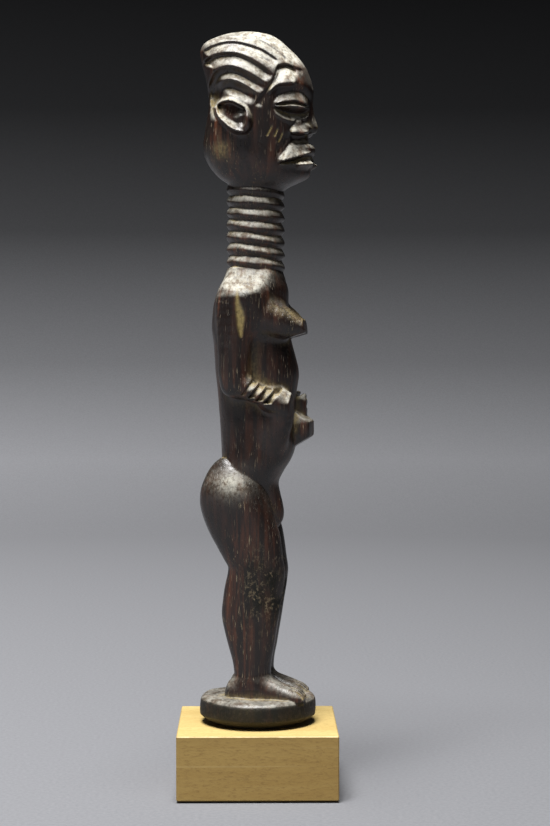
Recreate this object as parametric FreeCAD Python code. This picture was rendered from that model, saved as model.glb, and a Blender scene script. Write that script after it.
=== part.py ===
"""Carved hardwood fertility doll, standing on a steel pin in a pale wood display block.

Everything is in millimetres. The part's own frame has +Z up and its origin under the middle of the
display block, on the surface that the felt pads rest on. The doll is one carved piece. It is modelled
facing +X, with +Y on its left, and is then turned on its pin by FIGURE_TURN.

Level outlines are held as shares of a named depth, width or height, so a change of one size carries
through everything that seats on it.
"""
import FreeCAD, Part
import math
import os

from FreeCAD import Matrix, Placement, Rotation, Vector

# ---- display block, pin and pads -------------------------------------------------------------------
BLOCK_WIDTH = 63.5
BLOCK_DEPTH = 63.5
BLOCK_HEIGHT = 25.4
BLOCK_EDGE_BREAK = 0.4
PAD_DIAMETER = 11.0
PAD_THICKNESS = 0.8
PAD_INSET = 3.0
PIN_DIAMETER = 4.0
PIN_IN_BLOCK = 16.0
PIN_IN_FIGURE = 8.0
PIN_END_BREAK = 0.4
PIN_CLEARANCE = 0.04
PIN_END_GAP = 0.3

# ---- the doll's round foot plate -------------------------------------------------------------------
PLATE_RADIUS = 23.2
PLATE_THICKNESS = 10.5
PLATE_TOP_ROUND = 2.2
PLATE_UNDERCUT = 1.6
PLATE_SEAT_RADIUS = 18.0
PLATE_CHAMFER = 2.4

# ---- heights of the doll's parts, from the plate up ------------------------------------------------
LEG_HEIGHT = 90.0
TORSO_HEIGHT = 81.5
NECK_HEIGHT = 32.5
HEAD_HEIGHT = 63.5
FIGURE_TURN = -10.0

# ---- depths (front to back) and widths -------------------------------------------------------------
LEG_DEPTH = 30.0
LEG_WIDTH = 17.0
LEG_SPACING = 15.5
LEFT_LEG_SETBACK = 1.2
FOOT_LENGTH = 29.5
FOOT_WIDTH = 11.5
FOOT_RISE = 10.5
FOOT_HEEL = -9.6
TOE_GROOVE = 0.45
SOLE_DEPTH = 0.3
TORSO_DEPTH = 34.5
TORSO_WIDTH = 26.0
BREAST_LENGTH = 12.4
BREAST_ROOT_RADIUS = 8.6
NIPPLE_RADIUS = 2.4
ARM_RADIUS = 5.6
WRIST_RADIUS = 4.2
BANGLE_RISE = 0.8
BANGLE_WIDTH = 3.2
BANGLE_COUNT = 3
NECK_RADIUS = 11.7
NECK_RING_COUNT = 7
NECK_RING_DEPTH = 1.1
NECK_TILT = 2.5
HEAD_DEPTH = 44.0
HEAD_WIDTH = 35.0
HAIR_GROOVE = 1.3
EAR_HEIGHT = 15.0
EAR_LENGTH = 12.5
EAR_RISE = 3.4
NOSE_WIDTH = 9.0
EYE_LENGTH = 14.0
LIP_WIDTH = 19.0
FACE_SHARE = 0.49

# ---- levels that follow from the sizes above -------------------------------------------------------
BLOCK_TOP = PAD_THICKNESS + BLOCK_HEIGHT
FOOT_Z = PLATE_THICKNESS
HIP_Z = FOOT_Z + LEG_HEIGHT
NECK_Z = HIP_Z + TORSO_HEIGHT
HEAD_Z = NECK_Z + NECK_HEIGHT
RIGHT, LEFT = -1, 1
RING_POINTS = 20

# Level outlines: (share of the height, back, front, half width), the last three as shares of the
# part's depth and width.
LEG_LEVELS = [
    (0.02, -0.24, 0.21, 0.30),
    (0.14, -0.28, 0.24, 0.30),
    (0.26, -0.36, 0.29, 0.32),
    (0.36, -0.42, 0.33, 0.35),
    (0.46, -0.39, 0.37, 0.35),
    (0.555, -0.34, 0.40, 0.36),
    (0.65, -0.42, 0.38, 0.40),
    (0.75, -0.60, 0.34, 0.45),
    (0.83, -0.69, 0.30, 0.49),
    (0.89, -0.72, 0.25, 0.50),
    (0.95, -0.69, 0.17, 0.49),
    (1.01, -0.60, 0.06, 0.42),
    (1.05, -0.47, -0.08, 0.26),
]
TORSO_LEVELS = [
    (-0.05, -0.40, 0.20, 0.40),
    (0.00, -0.42, 0.29, 0.48),
    (0.07, -0.40, 0.38, 0.51),
    (0.16, -0.42, 0.44, 0.50),
    (0.30, -0.44, 0.455, 0.47),
    (0.42, -0.45, 0.455, 0.45),
    (0.50, -0.465, 0.475, 0.45),
    (0.58, -0.49, 0.44, 0.46),
    (0.68, -0.505, 0.39, 0.48),
    (0.80, -0.505, 0.395, 0.52),
    (0.88, -0.47, 0.38, 0.50),
    (0.95, -0.41, 0.33, 0.47),
    (1.01, -0.33, 0.28, 0.40),
]
HEAD_LEVELS = [
    (-0.01, -0.24, 0.27, 0.30),
    (0.04, -0.27, 0.40, 0.36),
    (0.08, -0.34, 0.47, 0.39),
    (0.13, -0.41, 0.49, 0.43),
    (0.20, -0.47, 0.49, 0.46),
    (0.28, -0.49, 0.48, 0.48),
    (0.36, -0.475, 0.485, 0.49),
    (0.46, -0.45, 0.495, 0.495),
    (0.55, -0.435, 0.495, 0.50),
    (0.63, -0.445, 0.51, 0.495),
    (0.70, -0.465, 0.485, 0.485),
    (0.77, -0.49, 0.45, 0.46),
    (0.83, -0.51, 0.39, 0.42),
    (0.88, -0.51, 0.31, 0.37),
    (0.925, -0.47, 0.235, 0.30),
    (0.96, -0.39, 0.14, 0.22),
    (0.985, -0.27, 0.04, 0.12),
]
# Upright sections of a foot from heel to toe: (share of the length, rise, half width).
FOOT_STATIONS = [
    (0.00, 0.42, 0.30),
    (0.10, 0.85, 0.41),
    (0.35, 1.10, 0.46),
    (0.55, 1.00, 0.48),
    (0.75, 0.72, 0.52),
    (0.93, 0.44, 0.50),
    (1.00, 0.30, 0.40),
]
# Level sections of shoulder and upper arm: (share of the torso's height, place along its depth, how far
# apart from its side, reach along the depth, half width), the last two as shares of the arm's radius.
ARM_STATIONS = [
    (0.95, -0.14, -0.30, 0.45, 0.55),
    (0.90, -0.16, 0.02, 1.00, 0.85),
    (0.82, -0.18, 0.12, 1.20, 1.00),
    (0.70, -0.19, 0.17, 1.12, 0.95),
    (0.56, -0.20, 0.19, 1.00, 0.88),
    (0.45, -0.20, 0.19, 0.95, 0.86),
    (0.38, -0.19, 0.17, 0.55, 0.60),
]
# Lines of the dressed hair on one side of the head: (share of head depth, share of head height).
HAIR_LINES = [
    [(-0.47, 0.87), (-0.36, 0.905), (-0.24, 0.915), (-0.10, 0.90), (0.05, 0.855), (0.18, 0.80),
     (0.28, 0.775)],
    [(-0.48, 0.80), (-0.38, 0.835), (-0.28, 0.845), (-0.15, 0.83), (-0.03, 0.79), (0.07, 0.75),
     (0.15, 0.72)],
    [(-0.45, 0.30), (-0.44, 0.50), (-0.44, 0.63), (-0.38, 0.68), (-0.30, 0.715), (-0.20, 0.72),
     (-0.10, 0.695), (0.01, 0.63)],
    [(-0.40, 0.28), (-0.39, 0.42), (-0.37, 0.55), (-0.31, 0.61), (-0.23, 0.63), (-0.13, 0.60), (-0.02, 0.56)],
]


def level_outline(level, back, front, half_width, side_shift=0.0, fullness=2.2):
    """A closed, level, egg-like outline from its back, front and half width."""
    middle, reach = (front + back) / 2, (front - back) / 2
    points = []
    for step in range(RING_POINTS):
        angle = 2 * math.pi * step / RING_POINTS
        along, across = math.cos(angle), math.sin(angle)
        along = math.copysign(abs(along) ** (2 / fullness), along)
        across = math.copysign(abs(across) ** (2 / fullness), across)
        points.append(Vector(middle + reach * along, side_shift + half_width * across, level))
    curve = Part.BSplineCurve()
    curve.interpolate(Points=points, PeriodicFlag=True)
    return Part.Wire([curve.toShape()])


def lofted_levels(levels, foot, height, depth, width, side_shift=0.0, fullness=2.2):
    """A smooth solid through level outlines."""
    wires = []
    for share, back, front, half in levels:
        level = foot + share * height
        wires.append(level_outline(level, back * depth, front * depth, half * width, side_shift, fullness))
    return Part.makeLoft(wires, True, False)


def between(levels, share, column):
    """The value of one column of a level table at a share of its height."""
    for low, high in zip(levels, levels[1:]):
        if low[0] <= share <= high[0]:
            mix = (share - low[0]) / (high[0] - low[0])
            return low[column] * (1 - mix) + high[column] * mix
    return levels[-1][column] if share > levels[-1][0] else levels[0][column]


def head_point(depth_share, height_share, side, lift=0.0):
    """The point of the head's surface at a place seen from the side, raised by lift."""
    back, front, half = (between(HEAD_LEVELS, height_share, column) for column in (1, 2, 3))
    middle, reach = (back + front) / 2, (front - back) / 2
    across = max(0.0, 1 - abs((depth_share - middle) / reach) ** 2.2) ** (1 / 2.2)
    return Vector(
        depth_share * HEAD_DEPTH,
        side * (half * HEAD_WIDTH * across + lift),
        HEAD_Z + height_share * HEAD_HEIGHT,
    )


def ellipsoid(centre, radii, turn=None):
    """An ellipsoid with its three radii along X, Y and Z, turned and then placed."""
    stretch = Matrix()
    stretch.scale(Vector(*radii))
    body = Part.makeSphere(1.0).transformGeometry(stretch)
    body.Placement = Placement(Vector(*centre), turn or Rotation())
    return body


def disc_loft(stations):
    """A smooth solid through discs, each (centre, direction, radius along the side, radius across)."""
    wires = []
    for centre, direction, reach, across in stations:
        major, minor = max(reach, across), min(reach, across)
        ring = Part.Ellipse(Vector(0, 0, 0), major, minor).toShape()
        if reach < across:
            ring.rotate(Vector(0, 0, 0), Vector(0, 0, 1), 90)
        ring.Placement = Placement(centre, Rotation(Vector(0, 0, 1), direction)).multiply(ring.Placement)
        wires.append(Part.Wire([ring]))
    return Part.makeLoft(wires, True, False)


def revolved(points):
    """A solid of revolution about Z from a closed profile in the XZ plane."""
    corners = [Vector(radius, 0, level) for radius, level in points]
    face = Part.Face(Part.makePolygon(corners + corners[:1]))
    return face.revolve(Vector(0, 0, 0), Vector(0, 0, 1), 360)


# ---- pieces of the mount ---------------------------------------------------------------------------
def display_block():
    """The pale wood block, with its blind hole for the pin."""
    corner = Vector(-BLOCK_WIDTH / 2, -BLOCK_DEPTH / 2, PAD_THICKNESS)
    block = Part.makeBox(BLOCK_WIDTH, BLOCK_DEPTH, BLOCK_HEIGHT, corner)
    block = block.makeChamfer(BLOCK_EDGE_BREAK, block.Edges)
    hole_depth = PIN_IN_BLOCK + PIN_END_GAP
    hole_foot = Vector(0, 0, BLOCK_TOP - hole_depth)
    return block.cut(Part.makeCylinder(PIN_DIAMETER / 2 + PIN_CLEARANCE, 2 * hole_depth, hole_foot))


def mounting_pin():
    """The steel pin that the doll turns on and lifts off."""
    foot = Vector(0, 0, BLOCK_TOP - PIN_IN_BLOCK)
    pin = Part.makeCylinder(PIN_DIAMETER / 2, PIN_IN_BLOCK + PIN_IN_FIGURE, foot)
    ends = [edge for edge in pin.Edges if len(edge.Vertexes) == 1]
    return pin.makeChamfer(PIN_END_BREAK, ends)


def felt_pad(side_x, side_y):
    """One self-adhesive felt disc under a corner of the block."""
    reach_x = BLOCK_WIDTH / 2 - PAD_INSET - PAD_DIAMETER / 2
    reach_y = BLOCK_DEPTH / 2 - PAD_INSET - PAD_DIAMETER / 2
    return Part.makeCylinder(PAD_DIAMETER / 2, PAD_THICKNESS, Vector(side_x * reach_x, side_y * reach_y, 0))


# ---- masses of the doll, each in the doll's own frame ----------------------------------------------
def foot_plate():
    """The round plate that the feet stand on, cut back underneath so that it seats on its middle."""
    top, low = PLATE_THICKNESS, PLATE_UNDERCUT
    round_in = PLATE_TOP_ROUND
    return revolved([
        (0, 0), (PLATE_SEAT_RADIUS, 0), (PLATE_SEAT_RADIUS, low),
        (PLATE_RADIUS - PLATE_CHAMFER, low), (PLATE_RADIUS, low + PLATE_CHAMFER),
        (PLATE_RADIUS, top - round_in), (PLATE_RADIUS - 0.3 * round_in, top - 0.3 * round_in),
        (PLATE_RADIUS - round_in, top), (0, top),
    ])


def leg(side):
    """One leg, from the ankle to the top of the buttock."""
    middle = side * LEG_SPACING / 2
    body = lofted_levels(LEG_LEVELS, FOOT_Z, LEG_HEIGHT, LEG_DEPTH, LEG_WIDTH, middle)
    if side == LEFT:
        body.translate(Vector(-LEFT_LEG_SETBACK, 0, 0))
    return body


def foot(side):
    """One foot: a wedge from heel to toe, with grooves between the toes."""
    middle = side * LEG_SPACING / 2
    discs = []
    for along, rise, half in FOOT_STATIONS:
        centre = Vector(FOOT_HEEL + along * FOOT_LENGTH, middle, FOOT_Z)
        discs.append((centre, Vector(1, 0, 0), rise * FOOT_RISE, half * FOOT_WIDTH))
    body = disc_loft(discs)
    corner = Vector(-FOOT_LENGTH, middle - 2 * FOOT_WIDTH, FOOT_Z - SOLE_DEPTH - 2 * FOOT_RISE)
    body = body.cut(Part.makeBox(2 * FOOT_LENGTH, 4 * FOOT_WIDTH, 2 * FOOT_RISE, corner))
    knuckle = Vector(FOOT_HEEL + 0.74 * FOOT_LENGTH, middle, FOOT_Z + 0.74 * FOOT_RISE)
    nail = Vector(FOOT_HEEL + 1.04 * FOOT_LENGTH, middle, FOOT_Z + 0.18 * FOOT_RISE)
    for place in (-0.3, -0.1, 0.1, 0.3):
        start = knuckle + Vector(0, 0.8 * place * FOOT_WIDTH, 0)
        run = nail + Vector(0, place * FOOT_WIDTH, 0) - start
        body = body.cut(Part.makeCylinder(TOE_GROOVE, run.Length, start, run))
    return body


def torso():
    """The trunk from the fork to the root of the neck."""
    return lofted_levels(TORSO_LEVELS, HIP_Z, TORSO_HEIGHT, TORSO_DEPTH, TORSO_WIDTH)


def breast(side):
    """A conical breast with its blunt nipple."""
    root = Vector(0.20 * TORSO_DEPTH, side * 0.29 * TORSO_WIDTH, HIP_Z + 0.775 * TORSO_HEIGHT)
    tip = root + Vector(BREAST_LENGTH - NIPPLE_RADIUS, side * 0.023 * TORSO_WIDTH, -0.35 * BREAST_LENGTH)
    run = tip - root
    cone = Part.makeCone(BREAST_ROOT_RADIUS, NIPPLE_RADIUS, run.Length, root, run)
    return cone.fuse(Part.makeSphere(1.02 * NIPPLE_RADIUS, tip))


def shoulder_and_arm(side):
    """Shoulder, upper arm and elbow of one side."""
    out = TORSO_WIDTH / 2
    discs = []
    for share, along, apart, reach, half in ARM_STATIONS:
        centre = Vector(along * TORSO_DEPTH, side * out * (1 + apart), HIP_Z + share * TORSO_HEIGHT)
        discs.append((centre, Vector(0, 0, -1), reach * ARM_RADIUS, half * ARM_RADIUS))
    return disc_loft(discs)


def forearm_line(side):
    """Elbow, wrist and knuckle points of one side: the left hand lies further round the belly."""
    out = TORSO_WIDTH / 2
    elbow = Vector(-0.18 * TORSO_DEPTH, side * 1.17 * out, HIP_Z + 0.44 * TORSO_HEIGHT)
    if side == RIGHT:
        wrist = Vector(0.24 * TORSO_DEPTH, side * 0.98 * out, HIP_Z + 0.36 * TORSO_HEIGHT)
        knuckle = Vector(0.42 * TORSO_DEPTH, side * 0.72 * out, HIP_Z + 0.27 * TORSO_HEIGHT)
    else:
        wrist = Vector(0.42 * TORSO_DEPTH, side * 0.74 * out, HIP_Z + 0.345 * TORSO_HEIGHT)
        knuckle = Vector(0.545 * TORSO_DEPTH, side * 0.18 * out, HIP_Z + 0.212 * TORSO_HEIGHT)
    return elbow, wrist, knuckle


def forearm(side):
    """Forearm with its carved bangles, and the hand laid on the belly."""
    elbow, wrist, knuckle = forearm_line(side)
    along = wrist - elbow
    length = along.Length
    arm = Part.makeCone(0.88 * ARM_RADIUS, WRIST_RADIUS, length, elbow, along)
    arm = arm.fuse(Part.makeSphere(0.95 * ARM_RADIUS, elbow))
    for ring in range(BANGLE_COUNT):
        share = 0.97 - (ring + 0.5) * BANGLE_WIDTH / length
        radius = 0.88 * ARM_RADIUS * (1 - share) + WRIST_RADIUS * share
        rim = radius + BANGLE_RISE
        for flip in (1, -1):
            centre = elbow + along * share
            half = Part.makeCone(rim, radius - 0.25 * BANGLE_RISE, BANGLE_WIDTH / 2, centre, along * flip)
            arm = arm.fuse(half)
    reach = knuckle - wrist
    hand = disc_loft([
        (wrist - reach * 0.12, along, 0.95 * WRIST_RADIUS, 0.95 * WRIST_RADIUS),
        (wrist + reach * 0.35, along * 0.5 + reach * 0.5, 1.25 * WRIST_RADIUS, 1.0 * WRIST_RADIUS),
        (wrist + reach * 0.8, reach, 1.25 * WRIST_RADIUS, 0.9 * WRIST_RADIUS),
        (knuckle + reach * 0.15, reach, 0.8 * WRIST_RADIUS, 0.65 * WRIST_RADIUS),
    ])
    return arm.fuse(hand)


def neck():
    """The ringed neck: a column with carved ridges, tilted a little forward and down."""
    pitch = NECK_HEIGHT / NECK_RING_COUNT
    sunk = 0.09 * NECK_HEIGHT
    crown = NECK_RADIUS - 0.14 * NECK_RING_DEPTH
    profile = [(0, -sunk), (NECK_RADIUS - NECK_RING_DEPTH, -sunk)]
    for ring in range(NECK_RING_COUNT):
        foot_level = ring * pitch
        profile += [
            (NECK_RADIUS - NECK_RING_DEPTH, foot_level + 0.12 * pitch),
            (crown, foot_level + 0.40 * pitch),
            (crown, foot_level + 0.62 * pitch),
            (NECK_RADIUS - NECK_RING_DEPTH, foot_level + 0.95 * pitch),
        ]
    profile += [(NECK_RADIUS - NECK_RING_DEPTH, NECK_HEIGHT + sunk), (0, NECK_HEIGHT + sunk)]
    column = revolved(profile)
    middle = Vector(-0.025 * HEAD_DEPTH, 0, NECK_Z)
    column.Placement = Placement(middle, Rotation(Vector(0, 1, 0), NECK_TILT), Vector(0, 0, NECK_HEIGHT / 2))
    return column


def hair_groove(line, side):
    """A round-bottomed groove that follows one line of the dressed hair."""
    points = [head_point(along, height, side, 0.25 * HAIR_GROOVE) for along, height in line]
    curve = Part.BSplineCurve()
    curve.interpolate(Points=points)
    spine = Part.Wire([curve.toShape()])
    start = curve.tangent(curve.FirstParameter)[0]
    ring = Part.Wire([Part.Circle(points[0], start, HAIR_GROOVE).toShape()])
    return spine.makePipeShell([ring], True, True)


def ear(side):
    """A shell-like ear that stands off the head."""
    centre = head_point(-0.17, 0.45, side, 0.06 * EAR_RISE)
    lean = Rotation(Vector(0, 1, 0), 14)
    body = ellipsoid(centre, (EAR_LENGTH / 2, EAR_RISE, EAR_HEIGHT / 2), lean)
    bowl_centre = centre + Vector(0.032 * EAR_LENGTH, side * EAR_RISE * 1.05, 0.053 * EAR_HEIGHT)
    bowl = ellipsoid(bowl_centre, (0.36 * EAR_LENGTH, 0.85 * EAR_RISE, 0.35 * EAR_HEIGHT), lean)
    return body.cut(bowl)


def eye_turn(side):
    """The turn that lays an eye against the rounded side of the face."""
    return Rotation(Vector(0, 0, 1), side * 42)


def eye_socket(side):
    """The hollow under the brow."""
    middle = head_point(0.38, 0.555, side, 0.1 * EYE_LENGTH)
    return ellipsoid(middle, (0.19 * EYE_LENGTH, 0.6 * EYE_LENGTH, 0.34 * EYE_LENGTH), eye_turn(side))


def eye(side):
    """The almond-shaped, lidded eye that fills the lower part of the hollow."""
    middle = head_point(0.37, 0.53, side, -0.114 * EYE_LENGTH)
    return ellipsoid(middle, (0.19 * EYE_LENGTH, 0.46 * EYE_LENGTH, 0.24 * EYE_LENGTH), eye_turn(side))


def nose():
    """The straight nose, with its two wings."""
    tip = Vector((FACE_SHARE - 0.009) * HEAD_DEPTH, 0, HEAD_Z + 0.365 * HEAD_HEIGHT)
    bridge = Vector((FACE_SHARE - 0.041) * HEAD_DEPTH, 0, HEAD_Z + 0.60 * HEAD_HEIGHT)
    run = tip - bridge
    body = Part.makeCone(0.17 * NOSE_WIDTH, 0.34 * NOSE_WIDTH, run.Length, bridge, run)
    body = body.fuse(Part.makeSphere(0.34 * NOSE_WIDTH, tip))
    for side in (RIGHT, LEFT):
        middle = tip + Vector(-0.24 * NOSE_WIDTH, side * 0.34 * NOSE_WIDTH, 0)
        body = body.fuse(ellipsoid(middle, (0.34 * NOSE_WIDTH, 0.24 * NOSE_WIDTH, 0.25 * NOSE_WIDTH)))
    return body


def lip(height_share, reach, width, thickness, tilt):
    """One full lip, its sizes as shares of the mouth's width."""
    middle = Vector(FACE_SHARE * HEAD_DEPTH - 0.27 * LIP_WIDTH, 0, HEAD_Z + height_share * HEAD_HEIGHT)
    radii = (reach * LIP_WIDTH, width * LIP_WIDTH, thickness * LIP_WIDTH)
    return ellipsoid(middle, radii, Rotation(Vector(0, 1, 0), tilt))


def head():
    """The head with its ridged hair, ears and face."""
    body = lofted_levels(HEAD_LEVELS, HEAD_Z, HEAD_HEIGHT, HEAD_DEPTH, HEAD_WIDTH)
    for side in (RIGHT, LEFT):
        for line in HAIR_LINES:
            body = body.cut(hair_groove(line, side))
        body = body.cut(eye_socket(side))
    for side in (RIGHT, LEFT):
        body = body.fuse([eye(side), ear(side)])
    upper_lip = lip(0.24, 0.33, 0.50, 0.145, 10)
    lower_lip = lip(0.165, 0.30, 0.42, 0.11, -10)
    return body.fuse([nose(), upper_lip, lower_lip])


def carved_figure():
    """The whole doll as one carved solid, turned on its pin and seated on the block."""
    masses = [foot_plate()]
    for side in (RIGHT, LEFT):
        masses += [leg(side), foot(side), breast(side), shoulder_and_arm(side), forearm(side)]
    masses += [neck(), head()]
    doll = torso().fuse(masses)
    reach = PIN_IN_FIGURE + PIN_END_GAP
    hole = Part.makeCylinder(PIN_DIAMETER / 2 + PIN_CLEARANCE, 2 * reach, Vector(0, 0, -reach))
    doll = doll.cut(hole)
    doll.Placement = Placement(Vector(0, 0, BLOCK_TOP), Rotation(Vector(0, 0, 1), FIGURE_TURN))
    return doll


def main():
    """Build every piece and write one file for each."""
    os.makedirs("parts", exist_ok=True)
    pieces = {
        "carved_figure": carved_figure(),
        "display_block": display_block(),
        "mounting_pin": mounting_pin(),
    }
    corners = [("front_right", 1, -1), ("front_left", 1, 1), ("back_right", -1, -1), ("back_left", -1, 1)]
    for name, side_x, side_y in corners:
        pieces["felt_pad_" + name] = felt_pad(side_x, side_y)
    for name, shape in pieces.items():
        shape.exportStep(os.path.join("parts", name + ".step"))
        print(name, "solids", len(shape.Solids), "valid", shape.isValid(), "volume", round(shape.Volume, 1))


main()
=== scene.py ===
"""Dress the carved hardwood doll, its display block, pin and felt pads.

The doll is roughed out as a block of distance values, the way a carver works a billet: masses are
added, hollows are cut, and the fine work is pressed into the skin as relief drawn over the side view.
Lengths in the carving classes are millimetres in the doll's own frame, which faces +X with +Z up and
has its origin under the middle of its foot plate. They are turned, lifted and changed to metres when
the mesh is made.
"""

import logging
import math
from dataclasses import dataclass
from enum import Enum
from typing import Callable, Sequence

import bpy
import numpy as np
from mathutils import Euler, Matrix, Vector


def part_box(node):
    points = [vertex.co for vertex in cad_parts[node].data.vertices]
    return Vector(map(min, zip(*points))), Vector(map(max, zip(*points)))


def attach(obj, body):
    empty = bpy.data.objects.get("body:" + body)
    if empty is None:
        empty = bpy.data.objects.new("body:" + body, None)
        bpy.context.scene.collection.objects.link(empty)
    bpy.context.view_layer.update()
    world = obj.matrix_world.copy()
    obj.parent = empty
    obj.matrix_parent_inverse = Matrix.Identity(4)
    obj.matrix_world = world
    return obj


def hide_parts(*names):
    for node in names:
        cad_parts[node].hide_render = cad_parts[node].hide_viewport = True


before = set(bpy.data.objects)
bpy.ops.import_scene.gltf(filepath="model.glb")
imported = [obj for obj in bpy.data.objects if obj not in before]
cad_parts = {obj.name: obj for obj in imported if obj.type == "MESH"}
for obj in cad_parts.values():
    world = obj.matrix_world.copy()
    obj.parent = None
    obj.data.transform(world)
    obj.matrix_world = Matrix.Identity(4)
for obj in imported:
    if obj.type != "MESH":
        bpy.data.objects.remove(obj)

LOG = logging.getLogger("doll")
MM = 0.001
FAR = np.float32(40.0)
TINY = 1e-6
CORNERS = tuple((i, j, k) for i in (0, 1) for j in (0, 1) for k in (0, 1))

Array = np.ndarray
Point = tuple[float, float, float]
Place = tuple[float, float]
Colour = tuple[float, float, float]
Rows = Sequence[Sequence[float]]
Line = Sequence[Place]
Contours = Sequence[tuple[float, Line]]
Cuts = Sequence[tuple[Point, Point]]
Form = Callable[[Array, Array, Array], Array]
Socket = bpy.types.NodeSocket


class Side(Enum):
    """The doll's two sides: its right is towards -Y when it faces +X."""

    RIGHT = -1
    LEFT = 1


class Join(Enum):
    """How a finish combines two values."""

    PLUS = "ADD"
    LESS = "SUBTRACT"
    TIMES = "MULTIPLY"
    LARGER = "MAXIMUM"


# ---------------------------------------------------------------------------------------------------
# Forms: functions that give the distance from points to a shape
# ---------------------------------------------------------------------------------------------------
def eased(share: Array) -> Array:
    """A share between 0 and 1 that leaves and arrives softly."""
    return share * share * (3 - 2 * share)


def fillet(one: Array, other: Array, size: float) -> Array:
    """The extra depth that rounds off the edge between two forms."""
    near = np.maximum(size - np.abs(one - other), 0) / size
    return near * near * size / 4


def smooth_rows(rows: Rows, at: Array) -> list[Array]:
    """Read the columns of a table of levels along smooth curves.

    Args:
        rows: rows of (level, value, value, ...), lowest level first.
        at: levels to read at; those past the ends take the end rows.

    Returns:
        One array for each value column.
    """
    table = np.asarray(rows, dtype=np.float64)
    level = table[:, 0]
    here = np.clip(at, level[0], level[-1])
    low = np.clip(np.searchsorted(level, here, side="right") - 1, 0, len(level) - 2)
    gap = level[low + 1] - level[low]
    mix = (here - level[low]) / gap
    columns = []
    for value in table.T[1:]:
        slope = np.gradient(value, level)
        lead, trail = slope[low] * gap, slope[low + 1] * gap
        cubic = (2 * mix**3 - 3 * mix**2 + 1) * value[low] + (mix**3 - 2 * mix**2 + mix) * lead
        cubic += (3 * mix**2 - 2 * mix**3) * value[low + 1] + (mix**3 - mix**2) * trail
        columns.append(cubic.astype(np.float32))
    return columns


def oval(across_a: tuple[Array, Array], across_b: tuple[Array, Array], fullness: float) -> Array:
    """Distance from an oval, true to size near its edge.

    Args:
        across_a: places along one axis, and the oval's radius there.
        across_b: the same along the other axis.
        fullness: 2 for an ellipse, more for a squarer oval.

    Returns:
        The distances, below zero inside.
    """
    radius_a, radius_b = across_a[1], across_b[1]
    share_a, share_b = np.abs(across_a[0]) / radius_a, np.abs(across_b[0]) / radius_b
    unit = np.maximum(share_a**fullness + share_b**fullness, TINY) ** (1 / fullness)
    steep_a, steep_b = share_a ** (fullness - 1) / radius_a, share_b ** (fullness - 1) / radius_b
    steep = np.sqrt(steep_a**2 + steep_b**2) * unit ** (1 - fullness)
    return (unit - 1) / np.maximum(steep, 0.5 / np.maximum(radius_a, radius_b))


def upright(rows: Rows, middle: float = 0.0, fullness: float = 2.3, egg: float = 0.0) -> Form:
    """A form with level oval sections.

    Args:
        rows: (level, back, front, half width) rows.
        middle: where the sections' middle lies along Y.
        fullness: 2 for an ellipse, more for a squarer section.
        egg: how much narrower the front half is than the back, as a share.

    Returns:
        The form.
    """

    def form(x: Array, y: Array, z: Array) -> Array:
        """Measure from the form.

        Args:
            x: coordinates along X.
            y: those along Y.
            z: those along Z.

        Returns:
            The distances, below zero inside.
        """
        back, front, half = smooth_rows(rows, z)
        reach = (front - back) / 2
        along = x - (front + back) / 2
        width = half * (1 - egg * np.clip(along / reach, -1, 1))
        side = oval((along, reach), (y - middle, width), fullness)
        return np.maximum(side, np.maximum(rows[0][0] - z, z - rows[-1][0]))

    return form


def lengthwise(rows: Rows, middle: float, sole: float, fullness: float) -> Form:
    """A form with upright oval sections that stand on a sole.

    Args:
        rows: (place along X, height, half width) rows.
        middle: where the sections' middle lies along Y.
        sole: level that they stand on.
        fullness: 2 for an ellipse, more for a squarer section.

    Returns:
        The form.
    """

    def form(x: Array, y: Array, z: Array) -> Array:
        """Measure from the form.

        Args:
            x: coordinates along X.
            y: those along Y.
            z: those along Z.

        Returns:
            The distances, below zero inside.
        """
        height, half = smooth_rows(rows, x)
        side = oval((z - sole, height), (y - middle, half), fullness)
        return np.maximum(side, np.maximum(rows[0][0] - x, x - rows[-1][0]))

    return form


def smooth_path(points: Rows, steps: int = 4) -> Array:
    """Draw a smooth curve through points.

    Args:
        points: the points, of any number of coordinates.
        steps: how many steps the curve takes from one to the next.

    Returns:
        The finer run of points.
    """
    given = np.asarray(points, dtype=np.float64)
    rows = np.column_stack([np.arange(len(given)), given])
    fine = np.linspace(0, len(given) - 1, steps * (len(given) - 1) + 1)
    return np.column_stack(smooth_rows(rows, fine))


def rod(points: Rows, stretch: Point = (1.0, 1.0, 1.0), steps: int = 3) -> Form:
    """A form that follows a path.

    Args:
        points: (x, y, z, radius) along the path.
        stretch: how much the rod is drawn out along X, Y and Z.
        steps: how many straight steps run from one point to the next.

    Returns:
        The form.
    """
    path = smooth_path(points, steps).astype(np.float32)
    scale = np.asarray(stretch, dtype=np.float32)
    spine = path[:, :3] / scale

    def form(x: Array, y: Array, z: Array) -> Array:
        """Measure from the form.

        Args:
            x: coordinates along X.
            y: those along Y.
            z: those along Z.

        Returns:
            The distances, below zero inside.
        """
        u, v, w = x / scale[0], y / scale[1], z / scale[2]
        best = np.inf
        for start, end, thick, thin in zip(spine, spine[1:], path[:, 3], path[1:, 3]):
            run = end - start
            share = (u - start[0]) * run[0] + (v - start[1]) * run[1] + (w - start[2]) * run[2]
            share = np.clip(share / max(float(run @ run), TINY), 0, 1)
            gap = (u - start[0] - run[0] * share) ** 2
            gap = gap + (v - start[1] - run[1] * share) ** 2
            gap = gap + (w - start[2] - run[2] * share) ** 2
            best = np.minimum(best, np.sqrt(gap) - (thick + (thin - thick) * share))
        return best * float(scale.min())

    return form


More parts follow.
